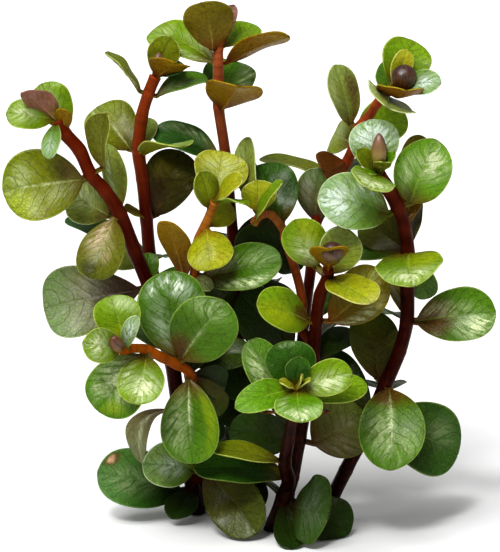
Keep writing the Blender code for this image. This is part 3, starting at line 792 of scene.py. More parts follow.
@dataclass
class Leaf:
    """A leaf on a stem: reach runs from the stem's middle at that node to the leaf's tip."""

    name: str
    node: int
    reach: Triple
    width: float
    faces: Triple
    finish: LeafFinish = GREEN
    arch: float = 0.06
    cup: float = 0.15
    widest: float = 0.6
    clear: float = 0.4
    curl: float = 0.0
    wave: float = 0.07
    marks: tuple[Mark, ...] = ()
    stands_alone: bool = True
    rows: int = 30

    THICKNESS = 0.3
    ACROSS = (-1, -0.94, -0.82, -0.62, -0.4, -0.2, -0.07, 0, 0.07, 0.2, 0.4, 0.62, 0.82, 0.94, 1)
    STALK_ROWS = 3
    BLISTERS = 6.5

    def build(self, shoot: "Shoot", paint: LeafPaint) -> bpy.types.Object:
        """The leaf as a thin closed piece, dressed in its finish.

        Args:
            shoot: the shoot that carries it.
            paint: the leaf finishes.

        Returns:
            The new piece.
        """
        along, across, middle = self.middle_surface(shoot)
        down = np.gradient(middle, axis=0)
        over = np.gradient(middle, axis=1)
        normal = unit(np.cross(over, down))
        shares = np.repeat(along[:, None], len(across), axis=1)
        edges = np.repeat(across[None, :], len(along), axis=0)
        rib = np.exp(-((edges / 0.16) ** 2)) * np.clip(1.15 - shares, 0, 1)
        taper = 1 - 0.35 * np.clip(np.abs(edges), 0, 1) ** 2
        thick = self.THICKNESS * taper[..., None] / 2
        upper = middle + normal * (thick - 0.16 * rib[..., None])
        lower = middle - normal * (thick + 0.2 * rib[..., None])
        points, faces, index = self.closed_skin(middle, upper, lower)
        uv = np.stack([shares.ravel()[index[0]], edges.ravel()[index[0]] / 2 + 0.5], axis=1)
        uv = np.clip(uv, 0, 1)
        marks = self.mark_values(uv[:, 0], uv[:, 1] * 2 - 1)
        tint = self.tint_values(uv[:, 0], index[1])
        points[:, 2] = np.maximum(points[:, 2], LOWEST)
        piece = MeshBuilder.build(
            f"{shoot.name}_{self.name}_leaf", points, faces, "leaf", uv, {"marks": marks, "tint": tint},
            {"side": index[1]}, paint.of(self.finish),
        )
        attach(piece, BODY)
        node = f"leaf_{shoot.name}_{self.name}" if self.stands_alone else f"stem_{shoot.name}"
        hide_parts(node)
        return piece

    def middle_surface(self, shoot: "Shoot") -> tuple[np.ndarray, np.ndarray, np.ndarray]:
        """The leaf's middle sheet.

        Args:
            shoot: the shoot that carries it.

        Returns:
            Shares along, shares across, and the points as rows by columns.
        """
        root, start, tip = self.span(shoot)
        chance = random.Random(f"{shoot.name} {self.name}")
        sway = chance.uniform(-0.035, 0.035)
        twist = chance.uniform(-0.12, 0.12)
        phase = chance.uniform(0, 2 * math.pi)
        beat = chance.uniform(1.1, 1.9)
        rows = self.rows
        blade = (1 - np.cos(np.linspace(0.0, 1.0, rows) ** 0.85 * math.pi)) / 2
        stalk = np.linspace(-1, 0, self.STALK_ROWS + 1)[:-1]
        along = np.concatenate([stalk, blade])
        share = np.clip(along, 0, 1)
        across = np.array(self.ACROSS, float)
        axis = tip - start
        length = np.linalg.norm(axis)
        facing = unit(np.array(self.faces, float))
        side = unit(np.cross(axis, facing))
        facing = unit(np.cross(side, axis))
        half = self.width / 2 * width_share(share, self.widest)
        petiole = PETIOLE_HALF * np.clip(1.2 - 2.2 * share, 0, 1)
        half = np.maximum(half, petiole)
        half = np.where(share > self.widest, np.maximum(half, 0.035 * self.width), half)
        half = np.where(along < 0, PETIOLE_HALF, half)
        a = across[None, :]
        t = share[:, None]
        h = half[:, None]
        fold = 0.6 * (np.sqrt(a**2 + 0.012) - 0.11) + 0.4 * a**2
        lift = self.arch * length * 4 * t * (1 - t) + self.cup * h * fold
        lift = lift + self.curl * length * t**3
        lift = lift + self.wave * h * a**2 * np.sin(2 * math.pi * beat * t + phase + np.sign(a) * 0.9)
        fade = np.clip(t * 4, 0, 1) * (1 - np.abs(a)) * np.clip(np.abs(a) * 6, 0, 1)
        lift = lift + 0.055 * fade * np.sin(2 * math.pi * self.BLISTERS * (t - 0.3 * np.abs(a)) + phase)
        turn = twist * t
        offset = a * h
        bend = sway * length * 4 * t * (1 - t)
        sideways = offset * np.cos(turn) + bend - lift * np.sin(turn) * 0.3
        height = lift + offset * np.sin(turn)
        centre = start + axis * t[..., None]
        outer = root - start
        centre = centre + outer * np.clip(-along, 0, 1)[:, None, None]
        middle = centre + side * sideways[..., None] + facing * height[..., None]
        return along, across, middle

    def span(self, shoot: "Shoot") -> tuple[np.ndarray, np.ndarray, np.ndarray]:
        """Where the leaf leaves the stem's inside, where its blade starts, and its tip."""
        node = np.array(shoot.route[self.node], float)
        following = np.array(shoot.route[min(self.node + 1, len(shoot.route) - 1)], float)
        before = np.array(shoot.route[self.node - 1], float)
        growth = unit(following - before)
        reach = np.array(self.reach, float)
        outward = unit(reach - growth * (reach @ growth))
        radius = shoot.radius_at(self.node)
        if self.stands_alone:
            start = node + outward * (radius + self.clear)
            root = node + outward * radius * 0.3
        else:
            start = node + unit(reach) * 0.6
            root = node
        return root, start, node + reach

    def closed_skin(
        self, middle: np.ndarray, upper: np.ndarray, lower: np.ndarray
    ) -> tuple[np.ndarray, list[tuple[int, ...]], tuple[np.ndarray, np.ndarray]]:
        """Joins the two sides by a rounded rim.

        Args:
            middle: the sheet between them.
            upper: the upper side, rows by columns.
            lower: the underside.

        Returns:
            All points, the faces, and for each point its place in the grid and its side, 0 for
            the upper one and 1 for the underside.
        """
        rows, columns = middle.shape[:2]
        grid = np.arange(rows * columns).reshape(rows, columns)
        ring = [*grid[0, :], *grid[1:, -1], *grid[-1, -2::-1], *grid[-2:0:-1, 0]]
        inner = [*grid[1, :], *grid[1:, -2], *grid[-2, -2::-1], *grid[-2:0:-1, 1]]
        inner[0], inner[columns - 1] = grid[1, 1], grid[1, -2]
        corner = columns - 1 + rows - 1
        inner[corner] = grid[-2, -2]
        inner[corner + columns - 1] = grid[-2, 1]
        flat = middle.reshape(-1, 3)
        rim = flat[ring] + unit(flat[ring] - flat[inner]) * self.THICKNESS * 0.3
        count = rows * columns
        points = np.concatenate([upper.reshape(-1, 3), lower.reshape(-1, 3), rim])
        faces: list[tuple[int, ...]] = []
        for row in range(rows - 1):
            for column in range(columns - 1):
                a, b = grid[row, column], grid[row, column + 1]
                c, d = grid[row + 1, column + 1], grid[row + 1, column]
                faces.append((a, b, c, d))
                faces.append((d + count, c + count, b + count, a + count))
        size = len(ring)
        for step in range(size):
            this, after = ring[step], ring[(step + 1) % size]
            rim_this, rim_after = 2 * count + step, 2 * count + (step + 1) % size
            faces.append((after, this, rim_this, rim_after))
            faces.append((rim_after, rim_this, this + count, after + count))
        place = np.concatenate([np.arange(count), np.arange(count), np.array(ring)])
        side = np.concatenate([np.zeros(count), np.ones(count), np.full(size, 0.5)])
        return points, faces, (place, side)

    def tint_values(self, along: np.ndarray, side: np.ndarray) -> np.ndarray:
        """The blade's own colour at each point, from the stalk to the tip, on both sides.

        Args:
            along: shares of the leaf's length.
            side: 0 for the upper side, 1 for the underside.

        Returns:
            Linear colours, one row a point.
        """
        finish = self.finish
        stalk, blade, tip = (np.array(linear(tone)) for tone in (finish.stalk, finish.blade, finish.tip))
        first = smooth(along / 0.34)[:, None]
        second = 0.8 * smooth((along - 0.45) / 0.5)[:, None]
        seen = stalk + (blade - stalk) * first
        seen = seen + (tip - seen) * second
        hidden_tone = np.array(linear(finish.blade if self.faces[1] > 0 else finish.under))
        hidden = seen + (hidden_tone - seen) * 0.6
        below = side[:, None]
        if self.faces[1] > 0:
            return hidden + (seen - hidden) * below
        return seen + (hidden - seen) * below

    def mark_values(self, along: np.ndarray, across: np.ndarray) -> np.ndarray:
        """The strength of each kind of mark at each point."""
        values = np.zeros((len(along), 4))
        for mark in self.marks:
            near = ((along - mark.along) / mark.long) ** 2 + ((across - mark.across) / mark.wide) ** 2
            channel = mark.kind.value
            values[:, channel] = np.maximum(values[:, channel], mark.strength * np.exp(-(near**1.5)))
        return np.clip(values, 0, 1)


@dataclass
class Bud:
    """The closed tip of a shoot, an egg shape whose middle is given from the origin."""

    middle: Triple
    radius: float
    half_length: float
    points: Triple = (0, 0, 1)
    finish: BudFinish = DARK_BUD
    pointed: float = 0.0
    roll: float = 0.6

    FOLDS = 2
    AROUND = 28
    UP = 20

    def build(self, shoot: "Shoot") -> bpy.types.Object:
        """The bud as young leaves clasped round each other."""
        up = np.linspace(0.0, 1.0, self.UP)
        turn = np.linspace(0.0, 2 * math.pi, self.AROUND, endpoint=False)
        height, angle = np.meshgrid(up, turn, indexing="ij")
        latitude = (height - 0.5) * math.pi
        swell = np.cos(latitude) * (1 - self.pointed * np.clip(height - 0.45, 0, 1) * 1.1)
        wound = (angle / (2 * math.pi) * self.FOLDS + height * self.roll) % 1.0
        lap = 1 + 0.07 * (wound - 0.5)
        seam = np.exp(-((np.minimum(wound, 1 - wound) / 0.07) ** 2)) * np.clip(height * 3, 0, 1)
        lap = lap - 0.04 * seam
        x = np.cos(angle) * swell * lap * self.radius
        y = np.sin(angle) * swell * lap * self.radius
        z = np.sin(latitude) * self.half_length
        turned = Vector((0, 0, 1)).rotation_difference(Vector(self.points)).to_matrix()
        points = np.stack([x.ravel(), y.ravel(), z.ravel()], axis=1) @ np.array(turned).T
        points = points + np.array(self.middle, float)
        faces = MeshBuilder.tube_faces(self.UP, self.AROUND)
        uv = np.stack([height.ravel(), angle.ravel() / (2 * math.pi)], axis=1)
        piece = MeshBuilder.build(
            f"{shoot.name}_bud", points, faces, "skin", uv, {}, {"seam": seam.ravel()}, self.finish.paint()
        )
        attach(piece, BODY)
        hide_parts(f"stem_{shoot.name}")
        return piece


@dataclass
class Shoot:
    """A stem through its nodes, from the foot up, with the leaves that it carries."""

    name: str
    route: tuple[Triple, ...]
    radii: tuple[float, float]
    skin: StemColours
    large_leaves: tuple[Leaf, ...]
    lesser_leaves: tuple[Leaf, ...] = ()
    back_leaves: tuple[Leaf, ...] = ()
    bud: Optional[Bud] = None
    fork: Optional[Triple] = None
    small_leaves: tuple[Leaf, ...] = ()

    AROUND = 18
    PER_INTERNODE = 9
    SMALL_LEAF_ROWS = 24

    def radius_at(self, node: float) -> float:
        """How thick the stem is at a node, half across."""
        foot_radius, tip_radius = self.radii
        return foot_radius + (tip_radius - foot_radius) * node / (len(self.route) - 1)

    def build(self, paint: LeafPaint, stem_paint: StemPaint) -> int:
        """Builds the stem, the bud and every leaf.

        Args:
            paint: the leaf finishes.
            stem_paint: the stem's skin.

        Returns:
            How many pieces were made.
        """
        made = [self.build_stem(stem_paint)]
        if self.bud:
            made.append(self.bud.build(self))
        for leaf in self.large_leaves:
            made.append(leaf.build(self, paint))
        for leaf in self.lesser_leaves + self.back_leaves + self.small_leaves:
            made.append(replace(leaf, stands_alone=False, rows=self.SMALL_LEAF_ROWS).build(self, paint))
        for piece in made:
            LOG.info("%s: %d faces", piece.name, len(piece.data.polygons))
        return len(made)

    def build_stem(self, stem_paint: StemPaint) -> bpy.types.Object:
        """The stem as a tapering tube with swollen nodes, cut flat at the ground."""
        knots = [np.array(point, float) for point in self.route]
        numbers = list(range(len(knots)))
        if self.fork:
            knots.insert(0, np.array(self.fork, float))
            numbers.insert(0, -1)
        centre, position = self.smooth_line(knots, numbers)
        steps = np.linalg.norm(np.diff(centre, axis=0), axis=1)
        length = np.concatenate([[0.0], np.cumsum(steps)])
        radius = np.array([self.radius_at(max(value, 0.0)) for value in position])
        nearest = np.abs(position - np.round(position))
        spacing = np.interp(position, position[:-1], np.maximum(steps * self.PER_INTERNODE, 0.5))
        apart = nearest * spacing
        joint = np.exp(-((apart / 0.9) ** 2))
        joint[np.round(position) <= 0] = 0
        above = (position - np.round(position)) * spacing
        scar = np.exp(-(((above - 0.55) / 0.16) ** 2)) + np.exp(-(((above + 0.55) / 0.16) ** 2))
        scar[np.round(position) <= 0] = 0
        radius = radius * (1 + 0.08 * joint - 0.03 * scar)
        if not self.fork:
            radius = radius * (1 + 0.12 * np.exp(-((length / 2.5) ** 2)))
        points, uv, growth = [], [], []
        frame_side = unit(np.cross(np.gradient(centre, axis=0)[0], np.array((0.0, 1.0, 0.1))))
        tangents = unit(np.gradient(centre, axis=0))
        angles = np.linspace(0, 2 * math.pi, self.AROUND, endpoint=False)
        for index, (middle, tangent) in enumerate(zip(centre, tangents)):
            frame_side = unit(frame_side - tangent * (frame_side @ tangent))
            other = np.cross(tangent, frame_side)
            squash = 1 + 0.03 * np.cos(2 * angles + position[index] * math.pi / 2)
            ring = middle + (np.cos(angles) * squash)[:, None] * frame_side * radius[index]
            ring = ring + (np.sin(angles) * squash)[:, None] * other * radius[index]
            if index == 0 and not self.fork:
                ring = ring - tangent * (ring[:, 2:3] / tangent[2])
            points.append(ring)
            uv.append(np.stack([np.full(self.AROUND, length[index]), angles / (2 * math.pi)], axis=1))
            rise = np.clip(middle[2] / CLUMP_HEIGHT, 0, 1)
            growth.append(np.tile([rise, joint[index], min(scar[index], 1.0), 1.0], (self.AROUND, 1)))
        faces = MeshBuilder.tube_faces(len(points), self.AROUND)
        corners = np.concatenate(points)
        corners[:, 2] = np.maximum(corners[:, 2], 0.0)
        piece = MeshBuilder.build(
            f"{self.name}_stem", corners, faces, "skin", np.concatenate(uv),
            {"growth": np.concatenate(growth)}, {}, stem_paint.paint(f"{self.name} stem", self.skin),
        )
        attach(piece, BODY)
        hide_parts(f"stem_{self.name}")
        return piece

    def smooth_line(
        self, knots: Sequence[np.ndarray], numbers: Sequence[int]
    ) -> tuple[np.ndarray, np.ndarray]:
        """A smooth line through the nodes.

        Args:
            knots: the nodes, from the foot up.
            numbers: the number of each node.

        Returns:
            The line's points, and the node number that each stands for.
        """
        first = 2 * knots[0] - knots[1]
        last = 2 * knots[-1] - knots[-2]
        padded = [first, *knots, last]
        points, position = [], []
        for index in range(len(knots) - 1):
            a, b, c, d = padded[index:index + 4]
            for step in range(self.PER_INTERNODE):
                t = step / self.PER_INTERNODE
                squared = (2 * a - 5 * b + 4 * c - d) * t**2
                cubed = (3 * b - a - 3 * c + d) * t**3
                points.append(0.5 * (2 * b + (c - a) * t + squared + cubed))
                position.append(numbers[index] + t)
        points.append(knots[-1])
        position.append(float(numbers[-1]))
        return np.array(points), np.array(position)


def far_left_shoot() -> Shoot:
    """Leans left, the large round leaf and the squarish one are its own."""
    return Shoot(
        name="far_left",
        route=(
            (-8, 11, 0), (-8.5, 10, 4), (-9.5, 8, 11.5), (-10.5, 7, 17.5), (-11.5, 5, 25.5),
            (-13, 3, 32), (-14.5, 2, 36.5), (-16.5, 1, 42), (-18.5, 0, 47.5), (-20.5, -1, 51),
            (-22.5, -1.5, 53.5), (-24, -2, 57), (-26, -2.5, 59.5), (-27, -3, 61.5),
        ),
        radii=(1.15, 0.88),
        skin=StemColours((20, 0, 0), (50, 2, 0), (92, 26, 0), 0.15, 0.8),
        large_leaves=(
            Leaf(
                "ground", 1, (-14, -3, 3.3), 9, (0, -8, 5), GROUND, clear=0.8,
                marks=(
                    glow(0.87, 0.66, 0.1, 0.3, 0.9), stain(0.88, 0.7, 0.055, 0.17, 1.0),
                    painted_glare(0.6, -0.1, 0.3, 0.5, 0.35), painted_shade(0.12, -0.2, 0.3, 0.9, 0.8),
                ),
            ),
            Leaf(
                "grey_arched", 3, (-5.2, -5, -7.3), 4.6, (-7, -6, 5), TAUPE, arch=0.42,
                marks=(painted_glare(0.5, -0.2, 0.45, 0.3, 0.8), stain(0.1, 0.4, 0.3, 0.5, 0.5)),
            ),
            Leaf(
                "squarish", 6, (-15, -1, -3), 10.2, (0, -9, 4), GREY, widest=0.72,
                marks=(
                    stain(0.1, 0.2, 0.36, 1.1, 0.95), painted_glare(0.5, 0.35, 0.26, 0.5, 0.7),
                    painted_glare(0.45, 0.0, 0.36, 0.05, 0.9), painted_glare(0.5, -0.55, 0.3, 0.35, 0.5),
                    painted_glare(0.85, 0, 0.16, 0.8, 0.35),
                ),
            ),
            Leaf(
                "wrinkled", 8, (-7, 2.5, 3), 6.5, (-2, -9, 3), PALE, clear=0.9, wave=0.16,
                marks=(
                    stain(0.15, -0.3, 0.3, 0.7, 0.5), painted_glare(0.7, 0.2, 0.3, 0.6, 0.8),
                    painted_shade(0.35, -0.7, 0.3, 0.3, 0.4),
                ),
            ),
            Leaf(
                "drooping", 8, (-4, -5, -8.5), 6.5, (-2, -9, 2), MURKY, arch=0.12, curl=0.12, cup=-0.25,
                marks=(
                    painted_glare(0.3, 0.35, 0.34, 0.5, 0.95), painted_shade(0.88, 0.3, 0.14, 0.5, 0.8),
                    glow(0.7, -0.6, 0.4, 0.3, 0.3), painted_glare(0.55, -0.3, 0.2, 0.2, 0.6),
                ),
            ),
            Leaf(
                "round", 10, (-12.2, -2.5, -1.9), 10.2, (0, -9, 3), OLIVE_LIME,
                marks=(
                    stain(0.16, 0.5, 0.3, 0.7, 0.7), painted_glare(0.6, 0.0, 0.42, 0.05, 0.85),
                    painted_glare(0.35, -0.4, 0.3, 0.4, 0.4), painted_glare(0.8, 0.35, 0.2, 0.4, 0.55),
                    glow(0.85, -0.5, 0.3, 0.5, 0.6),
                ),
            ),
            Leaf(
                "cupped", 10, (2.5, -2.5, 9), 5.5, (-7, -6, 3), MURKY, cup=0.4, clear=1.2,
                marks=(glow(0.5, 0.7, 0.5, 0.3, 0.4),),
            ),
            Leaf(
                "top_back", 12, (-3.5, 3, 6.5), 5.5, (3, -9, 3), LIME, clear=0.9,
                marks=(painted_glare(0.65, -0.3, 0.34, 0.6, 0.8),),
            ),
        ),
        lesser_leaves=(
            Leaf("shaded", 4, (12, -3, 1), 5.5, (0, -7, 6), DARK),
            Leaf(
                "narrow", 8, (-2, 3, 9.5), 4, (6, -8, 2), PALE,
                marks=(painted_glare(0.5, -0.4, 0.6, 0.3, 0.8), stain(0.4, 0.6, 0.5, 0.4, 0.4)),
            ),
            Leaf("dark", 7, (-10, 6, 3.5), 4.5, (0, -3, 9), BLUE),
            Leaf("brown", 12, (-0.3, -2.3, 3.8), 2.2, (2, 9, 2), GOLDEN),
            Leaf(
                "top_left", 13, (-7, -1, 1), 4.5, (1, -8, 5), LIME,
                marks=(painted_glare(0.7, 0.1, 0.34, 0.7, 0.85), stain(0.1, 0, 0.2, 0.8, 0.4)),
            ),
            Leaf("folded", 13, (-4.7, -3, 4.2), 4, (2, 8, 3), ROSE, cup=0.3, widest=0.4),
            Leaf(
                "hanging", 13, (-1, -3, -5), 2.8, (-3, -7, 5), SILVER,
                marks=(painted_glare(0.7, 0, 0.3, 0.8, 0.5),),
            ),
        ),
        back_leaves=(
            Leaf("back_low", 1, (-5, 9, 2), 4.5, (0, 3, 9), DARK),
            Leaf("low_dark", 1, (-3, -6, -2.8), 4.5, (0, -6, 7), DEEP),
            Leaf("back_right", 3, (6, -1.8, 4), 4.5, (0, -3, 9), DARK),
            Leaf("back_left", 4, (-7.5, 7.5, -4), 5, (-2, 5, 8), DARK),
            Leaf("back_high", 6, (7, 8, 1), 5, (0, 3, 9), GREEN),
        ),
        small_leaves=(
            Leaf("edge_on_front", 6, (0, 2, 4.5), 3, (0, -8, 3), GREEN),
        ),
    )


def mid_left_shoot() -> Shoot:
    """Stands behind the far left one."""
    return Shoot(
        name="mid_left",
        route=(
            (-5.5, 13, 0), (-7.5, 12, 6.5), (-10, 11, 16), (-12, 10, 25), (-13.5, 9, 33),
            (-14.5, 8, 39), (-15, 7, 45.5), (-15.5, 6.5, 51.5), (-16, 6, 55.5), (-15.5, 5.5, 60.5),
            (-14.5, 5, 64), (-13.5, 5, 66.5),
        ),
        radii=(1.1, 0.82),
        skin=StemColours((28, 0, 0), (74, 12, 0), (136, 58, 18), 0.2, 0.88),
        large_leaves=(
            Leaf(
                "dark_olive", 6, (5, 5, 9), 7.5, (0, -9, 2), DARK_OLIVE, clear=0.9,
                marks=(stain(0.25, -0.3, 0.35, 0.6, 0.7),),
            ),
            Leaf(
                "back", 8, (-6.2, 5, 5.6), 7.5, (2, -9, 3), OLIVE_LIME, clear=0.7,
                marks=(
                    stain(0.2, 0.2, 0.3, 0.6, 0.5), painted_glare(0.8, -0.5, 0.25, 0.4, 0.8),
                    painted_glare(0.4, 0, 0.4, 0.06, 0.7),
                ),
            ),
            Leaf("flat", 8, (6.5, -8, 2), 7.5, (0, 0, 9), LIME, marks=(painted_glare(0.4, 0, 0.5, 0.8, 0.85),)),
            Leaf("wing_left", 10, (-6, -1, 6), 5.5, (6, -1, 7), OLIVE_LIME),
            Leaf(
                "wing_right", 10, (8.5, 0.5, 2), 4.5, (-2, -4, 8), GREEN, arch=0.15,
                marks=(painted_glare(0.3, 0.3, 0.35, 0.6, 0.5), stain(0.1, 0.2, 0.2, 0.6, 0.5)),
            ),
            Leaf("top_back", 11, (2.2, 1.7, 5.4), 4.6, (0, -9, 4), OLIVE_LIME, clear=1.3),
        ),
        lesser_leaves=(
            Leaf("pale", 5, (-5.5, 3, 1), 5, (0, -9, 3), PALE),
            Leaf(
                "top_front", 11, (3.3, -4.5, 2.4), 6, (-1, 6, 6), GOLDEN, cup=0.2,
                marks=(stain(0.3, -0.2, 0.5, 0.7, 0.4),),
            ),
        ),
        back_leaves=(
            Leaf("low_right", 1, (3, 9, 4), 6, (0, 3, 9), DARK),
            Leaf("low_left", 1, (-5, 7, 2), 5, (-2, 5, 8), DARK),
            Leaf("low_front", 1, (5.5, -4, -3.5), 4.5, (0, -7, 6), DEEP),
            Leaf("back_left", 3, (-6, 7, 3), 6, (0, -3, 9), GREEN),
            Leaf("back_right", 3, (3, 9, 3), 6, (0, 3, 9), DARK),
            Leaf("back_high", 5, (2, 8, -1), 4.5, (0, 3, 9), GREEN),
        ),
        small_leaves=(
            Leaf("small_dark_low", 2, (6, -3, -3.5), 4, (0, -9, 3), DEEP),
            Leaf("glaucous", 11, (4, 1, 1.5), 3, (-1, -6, 7), BLUE),
            Leaf("small_olive_left", 6, (-3, -3, 2), 2.5, (0, -5, 8), OLIVE),
            Leaf("sliver", 8, (1.5, 5, 4), 3, (0, -8, 4), PALE),
        ),
        bud=Bud((-13, 4.5, 68.5), 0.8, 1.5, finish=ROSE_BUD, pointed=0.4),
    )


def tall_shoot() -> Shoot:
    """The highest, in the middle of the clump and towards its back."""
    return Shoot(
        name="tall",
        route=(
            (1, 7.5, 0), (0.5, 8, 7.5), (-0.5, 8, 18), (-1.5, 8, 25.5), (-2, 8, 31.5),
            (-2.5, 7.5, 43), (-3.5, 7, 54.5), (-4.5, 6, 62), (-4.5, 5.5, 66), (-4.5, 5, 68.5),
            (-4.5, 5, 70.5), (-4, 5, 72.5),
        ),
        radii=(0.9, 0.7),
        skin=StemColours((28, 2, 0), (78, 22, 4), (166, 92, 54), 0.2, 0.95),
        large_leaves=(
            Leaf(
                "dark_left", 6, (-10.5, 3, 3.4), 5.2, (0, -6, 8), BLUE,
                marks=(painted_shade(0.3, -0.5, 0.4, 0.6, 0.6), painted_glare(0.6, 0.6, 0.5, 0.25, 0.7)),
            ),
            Leaf("brown_front", 7, (3, -9, 4.2), 8, (1.6, 3, 9), GOLDEN),
            Leaf("back", 7, (2.5, 7, 5.5), 7.5, (0, -9, 3), GREEN, marks=(painted_glare(0.7, 0.7, 0.4, 0.3, 0.8),)),
            Leaf(
                "bright_left", 9, (-9.8, 8.5, 3.3), 6, (1, -9, 6), LIME,
                marks=(
                    painted_glare(0.5, -0.72, 0.45, 0.2, 0.98), painted_glare(0.85, 0.2, 0.16, 0.5, 0.6),
                    painted_glare(0.3, 0.4, 0.3, 0.3, 0.4),
                ),
            ),
            Leaf("golden_right", 9, (10, -2, 4), 6.5, (-3, 5, 8), GOLDEN),
            Leaf("olive_front", 10, (-2.1, -4, 7), 7, (0, 9, 3), OLIVE, clear=0.6),
        ),
        lesser_leaves=(
            Leaf("shaded_left", 4, (-4.5, -3, 4), 6, (0, -9, 3), DARK),
            Leaf("shaded_hanging", 3, (0.3, -4, -6.5), 6, (0, -9, 2), DEEP),
            Leaf("shaded_right", 5, (7.5, -0.5, 0.5), 5, (0, -9, 4), DARK),
            Leaf("curled", 10, (5.5, 5, 2.5), 4.5, (0, -5, 9), LIME),
        ),
        back_leaves=(
            Leaf("low_left", 1, (-2, 9, 5), 6, (0, 3, 9), DARK),
            Leaf("low_front", 1, (-0.6, -6, -5), 4.5, (0, -8, 5), DEEP),
            Leaf("shaded_low", 2, (-4, -4, -2), 6, (0, -8, 4), DEEP),
            Leaf("low_right", 1, (5, 8, 6), 5, (0, 3, 9), DARK),
            Leaf("back_left", 2, (-5, 9, 3), 6, (0, 3, 9), DARK),
            Leaf("back_right", 2, (7, 6, 4), 6, (0, 3, 9), DARK),
            Leaf("mid_back_right", 4, (6, 8, 3), 6, (0, 3, 9), GREEN),
            Leaf("mid_back_left", 5, (-3, 8, -3), 5, (0, 5, 8), GREEN),
            Leaf("high_back", 6, (3, 8, -5), 5, (0, 5, 8), GREEN),
        ),
        small_leaves=(
            Leaf("small_low_dark", 3, (-4.6, -1, 3.4), 3.4, (0, -9, 2), DEEP),
            Leaf("pink", 10, (2.2, 1.5, 6), 2.2, (0, -8, 2), ROSE),
        ),
    )


def centre_left_shoot() -> Shoot:
    """Branches from the mid left stem and ends in a yellow tip."""
    return Shoot(
        name="centre_left",
        route=(
            (-8.5, 10, 18.5), (-9, 8.5, 22), (-9, 6, 29), (-8, 3, 38), (-7.5, 1.5, 43),
            (-6.5, 1, 45.5), (-5.5, 0, 48), (-5, -1, 49.5),
        ),
        radii=(0.75, 0.6),
        fork=(-10.2, 10.9, 16.5),
        skin=StemColours((90, 30, 6), (140, 70, 20), (170, 112, 40), 0.2, 0.65),
        large_leaves=(
            Leaf(
                "olive_back", 3, (-4, -6, 9), 4.5, (3, 9, 3), GOLDEN, clear=0.9,
                marks=(stain(0.2, 0, 0.3, 1, 0.5),),
            ),
            Leaf(
                "long_right", 3, (12.5, -5, 3), 7, (0, -8, 5), GREEN, clear=0.6,
                marks=(
                    stain(0.2, 0, 0.34, 1.0, 0.6), painted_glare(0.62, 0.72, 0.42, 0.2, 0.98),
                    painted_glare(0.35, -0.35, 0.3, 0.3, 0.5), painted_glare(0.75, -0.3, 0.2, 0.4, 0.4),
                ),
            ),
            Leaf(
                "heart", 5, (1.2, -5, -5.2), 6.5, (-1, -9, 3), YELLOW, arch=0.12, cup=-0.25,
                marks=(painted_shade(0.55, 0.05, 0.35, 0.12, 0.35), painted_glare(0.8, 0.5, 0.15, 0.3, 0.35)),
            ),
            Leaf(
                "top_yellow", 7, (1, 4, 6.5), 7.8, (1, -9, 2), YELLOW,
                marks=(painted_glare(0.6, 0, 0.35, 0.8, 0.6), glow(0.3, 0, 0.3, 0.8, 0.6)),
            ),
        ),
        lesser_leaves=(
            Leaf("yellow_behind", 5, (4, 4, 2), 3.5, (1, -9, 2), YELLOW),
            Leaf(
                "inner_left", 6, (-1.6, -2.5, 6), 3.8, (3, -9, 2), OLIVE_LIME,
                marks=(glow(0.5, 0, 0.5, 0.8, 0.6),),
            ),
            Leaf("inner_right", 7, (4, -4, 4), 3.5, (-6, -5, 6), YELLOW),
            Leaf("tip_flat", 7, (4.5, -5, 0.5), 3, (0, 2, 9), LIME),
        ),
        small_leaves=(
            Leaf(
                "small_pale", 3, (2.5, -3, -1.5), 2, (0, -8, 4), PALE,
                marks=(painted_glare(0.6, 0, 0.5, 1, 0.8),),
            ),
        ),
    )


def arching_shoot() -> Shoot:
    """Branches from the round-bud stem and nods over to the left."""
    return Shoot(
        name="arching",
        route=(
            (7.5, 1.5, 30.5), (7.5, 2, 34.5), (6.5, 1.5, 39), (5, 1, 43.5), (4.5, 0.5, 45.5),
            (3, -0.5, 47.5), (1.5, -1, 47.5), (0.5, -2, 46.5),
        ),
        radii=(0.7, 0.55),
        fork=(9.1, 0.2, 28.5),
        skin=StemColours((100, 36, 8), (140, 70, 28), (160, 104, 50), 0.35, 0.62),
        large_leaves=(
            Leaf(
                "dark_green", 4, (-3, 6, 8), 7.5, (2, -9, 2), RICH,
                marks=(painted_shade(0.4, 0.4, 0.4, 0.5, 0.45),),
            ),
            Leaf(
                "veined", 6, (-2, 7, 10), 3.5, (-5, -8, 2), PALE, cup=0.3,
                marks=(stain(0.4, 0.3, 0.4, 0.5, 0.35),),
            ),
        ),
        lesser_leaves=(
            Leaf("thin_dark", 1, (-5.5, -4, 3), 4, (3, -2, 9), DARK),
            Leaf("hanging", 5, (-2.2, 5.5, -7), 7, (0, -9, 0), DEEP),
            Leaf("tip_round", 6, (-0.5, 0, 5), 5, (1, -9, 2), YELLOW),
            Leaf("tip_edge", 7, (4, -3, 6.5), 3.5, (-7, -3, 5), LIME),
        ),
        small_leaves=(
            Leaf("small_dark", 3, (1.2, 4, -5.5), 4, (0, -9, 2), DEEP),
        ),
    )


